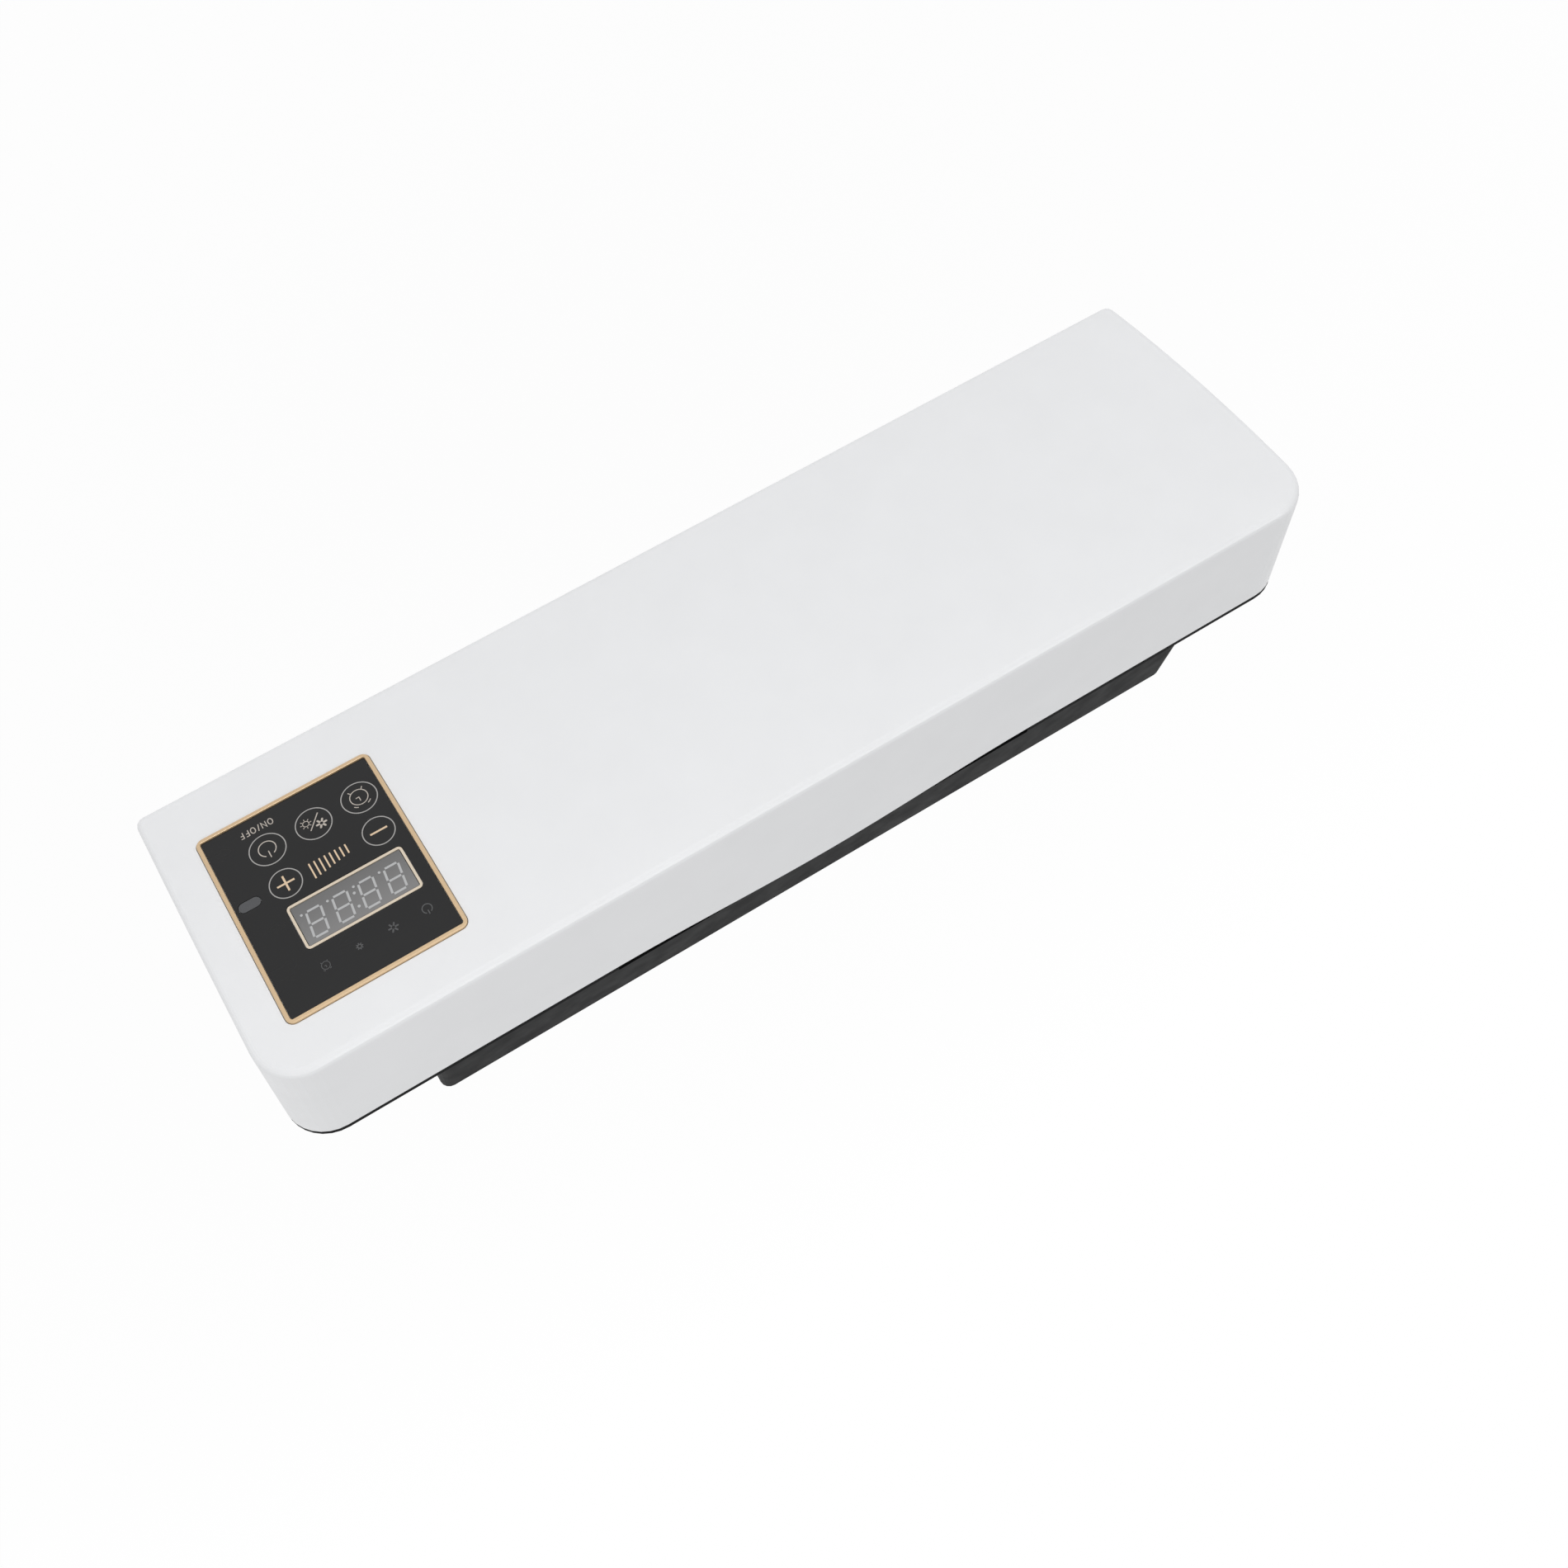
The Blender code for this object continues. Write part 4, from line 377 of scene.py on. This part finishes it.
def circuit(name, colour):
    """Green solder mask with copper tracks showing through as paler lines."""
    made, tree, shader = start_material(name)
    place = linked(tree, "ShaderNodeTexCoord")
    tracks = linked(tree, "ShaderNodeTexBrick")
    tracks.inputs["Scale"].default_value = TRACK_SCALE
    tracks.inputs["Mortar Size"].default_value = TRACK_WIDTH
    mapping = linked(tree, "ShaderNodeMapping")
    mapping.inputs["Rotation"].default_value = (math.pi / 2, 0.0, 0.0)
    tree.links.new(place.outputs["Object"], mapping.inputs["Vector"])
    tree.links.new(mapping.outputs["Vector"], tracks.inputs["Vector"])
    tree.links.new(between(tree, tracks.outputs["Fac"], colour, tuple(c * 1.8 + 0.03 for c in colour)),
                   shader.inputs["Base Color"])
    tree.links.new(spread(tree, noise(tree, BOARD_PATCH_SIZE), 0.35, 0.5), shader.inputs["Roughness"])
    bumps(tree, shader, (tracks.outputs["Fac"], 0.00002))
    return made


def unglazed(name, colour):
    """Off-white heat-resistant moulding with a chalky, speckled skin."""
    made, tree, shader = start_material(name)
    specks = noise(tree, SPECK_SIZE, 4.0)
    tree.links.new(between(tree, spread(tree, specks, 0.0, 1.0, 0.25, 0.5), darker(colour, 0.78), colour),
                   shader.inputs["Base Color"])
    tree.links.new(spread(tree, specks, 0.55, 0.75), shader.inputs["Roughness"])
    bumps(tree, shader, (specks, 0.00004))
    return made


def smoked(name, colour, pane):
    """Smoked window: a grey body under a clear coat, with painted shade darkening it towards its lower edge.
    """
    made, tree, shader = start_material(name)
    low, high = pane
    place = linked(tree, "ShaderNodeTexCoord")
    axes = linked(tree, "ShaderNodeSeparateXYZ")
    tree.links.new(place.outputs["Object"], axes.inputs["Vector"])
    # painted shade of the recessed window: its colour runs from a darker share at the lower edge up to its
    # own at the top
    edge = spread(tree, axes.outputs["Z"], 0.0, 1.0, low.z, high.z)
    tree.links.new(between(tree, edge, darker(colour, PANE_EDGE_SHADE), colour), shader.inputs["Base Color"])
    tree.links.new(spread(tree, noise(tree, PANE_PATCH_SIZE, 3.0), 0.16, 0.26), shader.inputs["Roughness"])
    bumps(tree, shader, (noise(tree, PANE_GRAIN_SIZE, 1.0), 0.000002))
    shader.inputs["Coat Weight"].default_value = PANE_COAT
    return made


def make_looks():
    """One look for each material of the model, and a paler gold."""
    along_x = (30.0, 1.0, 1.0)
    along_z = (1.0, 1.0, 20.0)
    return {
        "white_plastic": moulded("white_plastic", (0.835, 0.842, 0.855), contrast=0.02, rough=(0.34, 0.42),
                                 grain=0.0007, depth=0.000006, wave=0.00002, gloss=0.42),
        "black_plastic": moulded("black_plastic", (0.012, 0.0124, 0.0129), contrast=0.10,
                                 rough=(0.46, 0.56), grain=0.0006, depth=0.00002, gloss=0.024),
        "panel_black": gloss_sheet("panel_black", (0.013, 0.013, 0.0135), (0.24, 0.28)),
        "gold": lacquer("gold", (0.66, 0.48, 0.29), 0.25, (0.32, 0.42)),
        "pale_gold": lacquer("pale_gold", (0.72, 0.62, 0.49), 0.15, (0.32, 0.42)),
        "window_grey": smoked("window_grey", (0.195, 0.193, 0.193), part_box("display_window")),
        "ir_lens": gloss_sheet("ir_lens", (0.085, 0.087, 0.092), (0.15, 0.2)),
        "circuit_green": circuit("circuit_green", (0.03, 0.17, 0.08)),
        "component_dark": moulded("component_dark", (0.05, 0.05, 0.055), contrast=0.15, rough=(0.4, 0.55),
                                  grain=0.0005, depth=0.00002),
        "steel": brushed("steel", (0.62, 0.63, 0.64), (0.28, 0.38), along_x),
        "aluminium": brushed("aluminium", (0.78, 0.79, 0.80), (0.3, 0.42), along_z),
        "heat_white": unglazed("heat_white", (0.80, 0.77, 0.70)),
        "rubber": soft_rubber("rubber", (0.028, 0.028, 0.030)),
        "filter_foam": open_foam("filter_foam", (0.10, 0.10, 0.11)),
        "grey_plastic": moulded("grey_plastic", (0.30, 0.31, 0.32), contrast=0.08, rough=(0.42, 0.52),
                                grain=0.0006, depth=0.00002),
    }


def dress_nodes(looks):
    """Give every model node the look of its material slot, and the display frame a paler gold."""
    for row in frame["record"]["subparts"]:
        mesh = frame["nodes"][row["node"]].data
        mesh.materials.clear()
        look = "pale_gold" if row["node"] == "display_frame" else row["material_slot"]
        mesh.materials.append(looks[look])


# ---------------------------------------------------------------- face of the panel

def face_profile():
    """Depth of the crowned face as a function of height, from the touch sheet's middle and top edge."""
    low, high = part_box("front_cover")
    middle = (low.z + high.z) / 2
    half = (high.z - low.z) / 2
    sheet_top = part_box("touch_panel")[1].z
    verts = [v.co for v in frame["nodes"]["touch_panel"].data.vertices]
    near = min(verts, key=lambda v: v.y)
    edge = min((v for v in verts if v.z > sheet_top - 0.2 * MM), key=lambda v: v.y)

    def share(z):
        return ((z - middle) / half) ** 2

    crown = (edge.y - near.y) / (share(edge.z) - share(near.z))
    return lambda z: near.y + crown * (share(z) - share(near.z))


face_y = face_profile()


class Marks:
    """Collects flat shapes printed on the crowned face as thin closed solids."""

    def __init__(self, sink=0.0):
        self.work = bmesh.new()
        self.sink = sink

    def point(self, x, z, depth):
        """Corner at a depth from the face at (x, z)."""
        return self.work.verts.new((x, face_y(z) + self.sink + depth, z))

    def ribbon(self, left, right, closed=False):
        """Solid strip between two rows of equally many (x, z) points."""
        rows = [[self.point(x, z, depth) for x, z in side]
                for side, depth in ((left, -PRINT_PROUD), (right, -PRINT_PROUD),
                                    (right, PRINT_SUNK), (left, PRINT_SUNK))]
        count = len(left)
        steps = count if closed else count - 1
        for a, b in zip(rows, rows[1:] + rows[:1]):
            for i in range(steps):
                j = (i + 1) % count
                self.work.faces.new((a[i], a[j], b[j], b[i]))
        if not closed:
            self.work.faces.new([row[0] for row in rows])
            self.work.faces.new([row[-1] for row in reversed(rows)])

    def stroke(self, start, end, width):
        """Straight line between two points."""
        along = Vector(end) - Vector(start)
        side = Vector((-along.y, along.x)).normalized() * width / 2
        steps = max(1, int(along.length / STROKE_STEP))
        spine = [Vector(start) + along * i / steps for i in range(steps + 1)]
        self.ribbon([tuple(p + side) for p in spine], [tuple(p - side) for p in spine])

    def path(self, points, width):
        """Line through points with mitred corners."""
        spine = [Vector(p) for p in points]
        left, right = [], []
        for i, p in enumerate(spine):
            before = (p - spine[i - 1]).normalized() if i else (spine[1] - p).normalized()
            after = (spine[i + 1] - p).normalized() if i < len(spine) - 1 else before
            bisector = (before + after).normalized()
            side = Vector((-bisector.y, bisector.x)) * width / 2 / max(bisector.dot(before), MITRE_LEAST)
            left.append(tuple(p + side))
            right.append(tuple(p - side))
        self.ribbon(left, right)

    def ring(self, centre, radius, width, start=0.0, end=360.0):
        """Circle, or an arc of it, drawn as a line; angles in degrees from +X."""
        closed = end - start >= 360.0
        steps = max(RING_STEPS_LEAST, int((end - start) / RING_STEP))
        turns = [math.radians(start + (end - start) * i / steps) for i in range(steps + (0 if closed else 1))]
        rows = [[(centre[0] + r * math.cos(a), centre[1] + r * math.sin(a)) for a in turns]
                for r in (radius + width / 2, radius - width / 2)]
        self.ribbon(*rows, closed=closed)

    def disc(self, centre, radius):
        """Filled spot."""
        turns = [2 * math.pi * i / DISC_STEPS for i in range(DISC_STEPS)]
        rows = [[self.point(centre[0] + radius * math.cos(a), centre[1] + radius * math.sin(a), depth)
                 for a in turns] for depth in (-PRINT_PROUD, PRINT_SUNK)]
        self.work.faces.new(rows[0])
        self.work.faces.new(reversed(rows[1]))
        for i in range(DISC_STEPS):
            j = (i + 1) % DISC_STEPS
            self.work.faces.new((rows[0][i], rows[0][j], rows[1][j], rows[1][i]))

    def finish(self, name, look):
        """Turn what was collected into a piece that rides on the dryer."""
        bmesh.ops.recalc_face_normals(self.work, faces=self.work.faces)
        mesh = bpy.data.meshes.new(name)
        self.work.to_mesh(mesh)
        self.work.free()
        mesh.materials.append(look)
        item = bpy.data.objects.new(name, mesh)
        bpy.context.scene.collection.objects.link(item)
        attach(item, ROOT)


def offset(centre, dx, dz):
    """Point a little way from a centre."""
    return centre[0] + dx, centre[1] + dz


def rays(marks, centre, near, far, count, width):
    """Short lines round a centre."""
    for i in range(count):
        a = 2 * math.pi * i / count
        marks.stroke(offset(centre, near * math.cos(a), near * math.sin(a)),
                     offset(centre, far * math.cos(a), far * math.sin(a)), width)


def power_icon(marks, centre, radius, width):
    """Open ring with a line in its gap."""
    marks.ring(centre, radius, width, *POWER_ARC)
    marks.stroke(*[offset(centre, 0.0, radius * share) for share in POWER_BAR], width)


def clock_icon(marks, centre, radius, width):
    """Alarm clock: ring, hands, two feet and two bells."""
    marks.ring(centre, radius, width)
    up, across = CLOCK_HANDS
    marks.path([offset(centre, 0.0, radius * up), centre, offset(centre, radius * across, 0.0)], width)
    for side in (-1, 1):
        lean = math.radians(90 - side * CLOCK_FOOT_TURN)
        ends = [offset(centre, math.cos(lean) * radius * share, math.sin(lean) * radius * share)
                for share in CLOCK_FOOT]
        marks.stroke(*ends, width)
        middle = 90 - side * CLOCK_BELL_TURN
        marks.ring(centre, radius * CLOCK_BELL_R, width, middle - CLOCK_BELL_HALF, middle + CLOCK_BELL_HALF)


def sun_icon(marks, centre, radius, width):
    """Small ring with rays."""
    marks.ring(centre, radius * SUN_RING, width)
    rays(marks, centre, radius * SUN_RAY_START, radius, SUN_RAYS, width)


def snow_icon(marks, centre, radius, width):
    """Round-ended petals."""
    reach = radius - width / 2
    rays(marks, centre, radius * SNOW_HEART, reach, SNOW_PETALS, width)
    for i in range(SNOW_PETALS):
        a = 2 * math.pi * i / SNOW_PETALS
        marks.disc(offset(centre, reach * math.cos(a), reach * math.sin(a)), width / 2)


def letter_strokes(letter):
    """Lines of a plain letter in a unit cell, as lists of (x, z)."""
    turns = [math.radians(a) for a in range(0, 361, 30)]
    oval = [(0.5 + 0.5 * math.sin(a), 0.5 + 0.5 * math.cos(a)) for a in turns]
    return {
        "O": [oval],
        "N": [[(0, 0), (0, 1), (1, 0), (1, 1)]],
        "F": [[(0, 0), (0, 1), (0.95, 1)], [(0, 0.52), (0.8, 0.52)]],
        "/": [[(0.1, -0.05), (0.9, 1.05)]],
    }[letter]


def write(marks, word, centre, width):
    """Write a word of plain letters round a centre."""
    length = sum(LETTER_WIDTHS[letter] for letter in word) + LETTER_GAP * (len(word) - 1)
    left = centre[0] - length / 2 + width / 2
    for letter in word:
        span = LETTER_WIDTHS[letter] - width
        for line in letter_strokes(letter):
            marks.path([(left + x * span, centre[1] + (z - 0.5) * (LETTER_HEIGHT - width)) for x, z in line],
                       width)
        left += LETTER_WIDTHS[letter] + LETTER_GAP


def key_marks(looks):
    """Outlines and icons of the five keys."""
    rings = Marks()
    for centre in (TIMER_KEY, AIR_KEY, POWER_KEY):
        rings.ring(centre, BIG_KEY_R, LINE)
    for centre in (MINUS_KEY, PLUS_KEY):
        rings.ring(centre, SMALL_KEY_R, LINE)
    rings.finish("key_rings", looks["print_grey"])

    icons = Marks()
    power_icon(icons, offset(POWER_KEY, 0.0, POWER_LIFT), POWER_R, LINE)
    clock_icon(icons, offset(TIMER_KEY, 0.0, CLOCK_LIFT), CLOCK_R, CLOCK_LINE)
    icons.stroke(offset(AIR_KEY, *SLASH_ENDS[0]), offset(AIR_KEY, *SLASH_ENDS[1]), LINE)
    snow_icon(icons, offset(AIR_KEY, *SNOW_SHIFT), SNOW_R, PETAL_WIDTH)
    sun_icon(icons, offset(AIR_KEY, *SUN_SHIFT), SUN_R, FINE_LINE)
    write(icons, "ON/OFF", offset(POWER_KEY, 0.0, -WORD_DROP), LETTER_LINE)
    icons.finish("key_icons", looks["print_beige"])

    signs = Marks()
    for centre in (MINUS_KEY, PLUS_KEY):
        signs.stroke(offset(centre, -SIGN_LENGTH / 2, 0.0), offset(centre, SIGN_LENGTH / 2, 0.0), SIGN_WIDTH)
    for side in (-1, 1):
        signs.stroke(offset(PLUS_KEY, 0.0, side * SIGN_WIDTH / 2),
                     offset(PLUS_KEY, 0.0, side * SIGN_LENGTH / 2), SIGN_WIDTH)
    for i in range(BAR_COUNT):
        share = i / (BAR_COUNT - 1)
        x = BAR_LEFT_X + (BAR_RIGHT_X - BAR_LEFT_X) * share
        length = BAR_LENGTHS[0] + (BAR_LENGTHS[1] - BAR_LENGTHS[0]) * share
        signs.stroke((x, BAR_FOOT_Z), (x, BAR_FOOT_Z + length), BAR_WIDTH)
    signs.finish("key_signs_and_bars", looks["print_gold"])


def indicator_marks(looks):
    """Faint icons of the indicator lamps above the display."""
    marks = Marks()
    icons = (("power", power_icon, LINE), ("snow", snow_icon, INDICATOR_PETAL), ("sun", sun_icon, LINE),
             ("clock", clock_icon, FINE_LINE))
    for name, icon, width in icons:
        icon(marks, (INDICATOR_X[name], INDICATOR_Z), INDICATOR_R * INDICATOR_SHARES[name], width)
    marks.finish("indicator_icons", looks["print_faint"])


def segment_ends():
    """The seven segments of a digit in a unit cell, as pairs of ends (x, z)."""
    corners = [(-0.5, -0.5), (0.5, -0.5), (-0.5, 0.0), (0.5, 0.0), (-0.5, 0.5), (0.5, 0.5)]
    pairs = [(0, 1), (2, 3), (4, 5), (0, 2), (2, 4), (1, 3), (3, 5)]
    return [(corners[a], corners[b]) for a, b in pairs]


def display_marks(looks):
    """Unlit digits of the display, slanted, with their points and the colon."""
    low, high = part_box("display_window")
    middle_x = (low.x + high.x) / 2 + DIGIT_SHIFT
    middle_z = (low.z + high.z) / 2 + DIGIT_LIFT
    marks = Marks(WINDOW_SINK)

    def slanted(x, z):
        return middle_x + x + z * DIGIT_SLANT, middle_z + z

    for i in range(DIGIT_COUNT):
        centre = (i - (DIGIT_COUNT - 1) / 2) * DIGIT_PITCH
        for start, end in segment_ends():
            a = Vector((start[0] * DIGIT_WIDTH, start[1] * DIGIT_HEIGHT))
            b = Vector((end[0] * DIGIT_WIDTH, end[1] * DIGIT_HEIGHT))
            trim = (b - a).normalized() * (SEGMENT_WIDTH / 2 + SEGMENT_GAP)
            a, b = a + trim, b - trim
            marks.stroke(slanted(centre + a.x, a.y), slanted(centre + b.x, b.y), SEGMENT_WIDTH)
        marks.disc(slanted(centre + DIGIT_WIDTH * POINT_PLACE[0], DIGIT_HEIGHT * POINT_PLACE[1]), POINT_R)
    for height in COLON_HEIGHTS:
        marks.disc(slanted(0.0, DIGIT_HEIGHT * height), COLON_R)
    marks.finish("display_digits", looks["print_digit"])


def print_looks():
    """Inks of the printed marks."""
    return {
        "print_grey": lacquer("print_grey", (0.39, 0.38, 0.37), 0.0, (0.4, 0.5)),
        "print_beige": lacquer("print_beige", (0.51, 0.46, 0.41), 0.0, (0.4, 0.5)),
        "print_gold": lacquer("print_gold", (0.74, 0.56, 0.38), 0.1, (0.35, 0.45)),
        "print_faint": lacquer("print_faint", (0.070, 0.071, 0.074), 0.0, (0.3, 0.4)),
        "print_digit": lacquer("print_digit", (0.47, 0.475, 0.48), 0.0, (0.3, 0.4)),
    }


# ---------------------------------------------------------------- floor, light and camera

def pale_floor():
    """Wide pale floor below the dryer, seen from above only; it keeps the dryer's shadow."""
    low = cad_low.z - FLOOR_DROP
    mesh = bpy.data.meshes.new("floor")
    half = FLOOR_SIZE / 2
    mesh.from_pydata([(-half, -half, low), (half, -half, low), (half, half, low), (-half, half, low)], [],
                     [(0, 1, 2, 3)])
    floor = bpy.data.objects.new("floor", mesh)
    bpy.context.scene.collection.objects.link(floor)
    made = bpy.data.materials.new("look_floor")
    made.use_nodes = True
    tree = made.node_tree
    shader = tree.nodes["Principled BSDF"]
    shader.inputs["Base Color"].default_value = (*FLOOR_COLOUR, 1.0)
    shader.inputs["Roughness"].default_value = FLOOR_ROUGHNESS
    glow = linked(tree, "ShaderNodeEmission")
    path = linked(tree, "ShaderNodeLightPath")
    seen = linked(tree, "ShaderNodeMath", operation="MAXIMUM")
    tree.links.new(path.outputs["Is Camera Ray"], seen.inputs[0])
    tree.links.new(path.outputs["Is Glossy Ray"], seen.inputs[1])
    place = linked(tree, "ShaderNodeTexCoord")
    distance = linked(tree, "ShaderNodeVectorMath", operation="LENGTH")
    tree.links.new(place.outputs["Object"], distance.inputs[0])
    share = linked(tree, "ShaderNodeMath", operation="MULTIPLY")
    tree.links.new(spread(tree, distance.outputs["Value"], *FLOOR_GLOW, *FLOOR_FADE), share.inputs[1])
    tree.links.new(seen.outputs[0], share.inputs[0])
    mix = linked(tree, "ShaderNodeMixShader")
    tree.links.new(share.outputs[0], mix.inputs["Fac"])
    tree.links.new(shader.outputs["BSDF"], mix.inputs[1])
    tree.links.new(glow.outputs["Emission"], mix.inputs[2])
    clear = linked(tree, "ShaderNodeBsdfTransparent")
    side = linked(tree, "ShaderNodeNewGeometry")
    one_way = linked(tree, "ShaderNodeMixShader")
    tree.links.new(side.outputs["Backfacing"], one_way.inputs["Fac"])
    tree.links.new(mix.outputs["Shader"], one_way.inputs[1])
    tree.links.new(clear.outputs["BSDF"], one_way.inputs[2])
    tree.links.new(one_way.outputs["Shader"], tree.nodes["Material Output"].inputs["Surface"])
    mesh.materials.append(made)


def studio_world():
    """Even surrounding light, white where the camera, a gloss or a pane sees it."""
    world = bpy.data.worlds.new("studio")
    world.use_nodes = True
    bpy.context.scene.world = world
    tree = world.node_tree
    background = tree.nodes["Background"]
    background.inputs["Color"].default_value = (1.0, 1.0, 1.0, 1.0)
    path = linked(tree, "ShaderNodeLightPath")
    seen = path.outputs["Is Camera Ray"]
    for ray in ("Is Glossy Ray", "Is Transmission Ray"):
        either = linked(tree, "ShaderNodeMath", operation="MAXIMUM")
        tree.links.new(seen, either.inputs[0])
        tree.links.new(path.outputs[ray], either.inputs[1])
        seen = either.outputs[0]
    level = linked(tree, "ShaderNodeMapRange")
    level.inputs["To Min"].default_value = WORLD_LEVEL
    level.inputs["To Max"].default_value = 1.0
    tree.links.new(seen, level.inputs["Value"])
    tree.links.new(level.outputs["Result"], background.inputs["Strength"])


def area_light(name, place, target, size, power):
    """Soft lamp that looks at a target, both given from the dryer's middle."""
    middle = (cad_low + cad_high) / 2
    lamp = bpy.data.lights.new(name, "AREA")
    lamp.shape = "RECTANGLE"
    lamp.size, lamp.size_y = size
    lamp.energy = power
    item = bpy.data.objects.new(name, lamp)
    item.location = middle + Vector(place)
    aim = middle + Vector(target) - item.location
    item.rotation_euler = aim.to_track_quat("-Z", "Y").to_euler()
    item.visible_diffuse = name not in HIGHLIGHT_LAMPS
    bpy.context.scene.collection.objects.link(item)


def photo_camera():
    """Camera at the photograph's viewing angle."""
    right = Vector(CAMERA_RIGHT).normalized()
    up = Vector(CAMERA_UP)
    back = right.cross(up).normalized()
    up = back.cross(right)
    camera = bpy.data.cameras.new("camera")
    camera.sensor_width = SENSOR_WIDTH
    camera.lens = FOCAL_PIXELS / IMAGE_SIZE * SENSOR_WIDTH
    camera.shift_x = (IMAGE_SIZE / 2 - PRINCIPAL_PIXEL[0]) / IMAGE_SIZE
    camera.shift_y = (PRINCIPAL_PIXEL[1] - IMAGE_SIZE / 2) / IMAGE_SIZE
    camera.clip_end = CLIP_END
    item = bpy.data.objects.new("camera", camera)
    item.matrix_world = Matrix((
        (right.x, up.x, back.x, CAMERA_PLACE[0]),
        (right.y, up.y, back.y, CAMERA_PLACE[1]),
        (right.z, up.z, back.z, CAMERA_PLACE[2]),
        (0.0, 0.0, 0.0, 1.0)))
    bpy.context.scene.collection.objects.link(item)
    bpy.context.scene.camera = item


# ---------------------------------------------------------------- scene

looks = make_looks()
looks.update(print_looks())
dress_nodes(looks)
key_marks(looks)
indicator_marks(looks)
display_marks(looks)
pale_floor()
studio_world()
for name, lamp in LAMPS.items():
    area_light(name, *lamp)
photo_camera()
bpy.context.scene.view_settings.view_transform = "Standard"
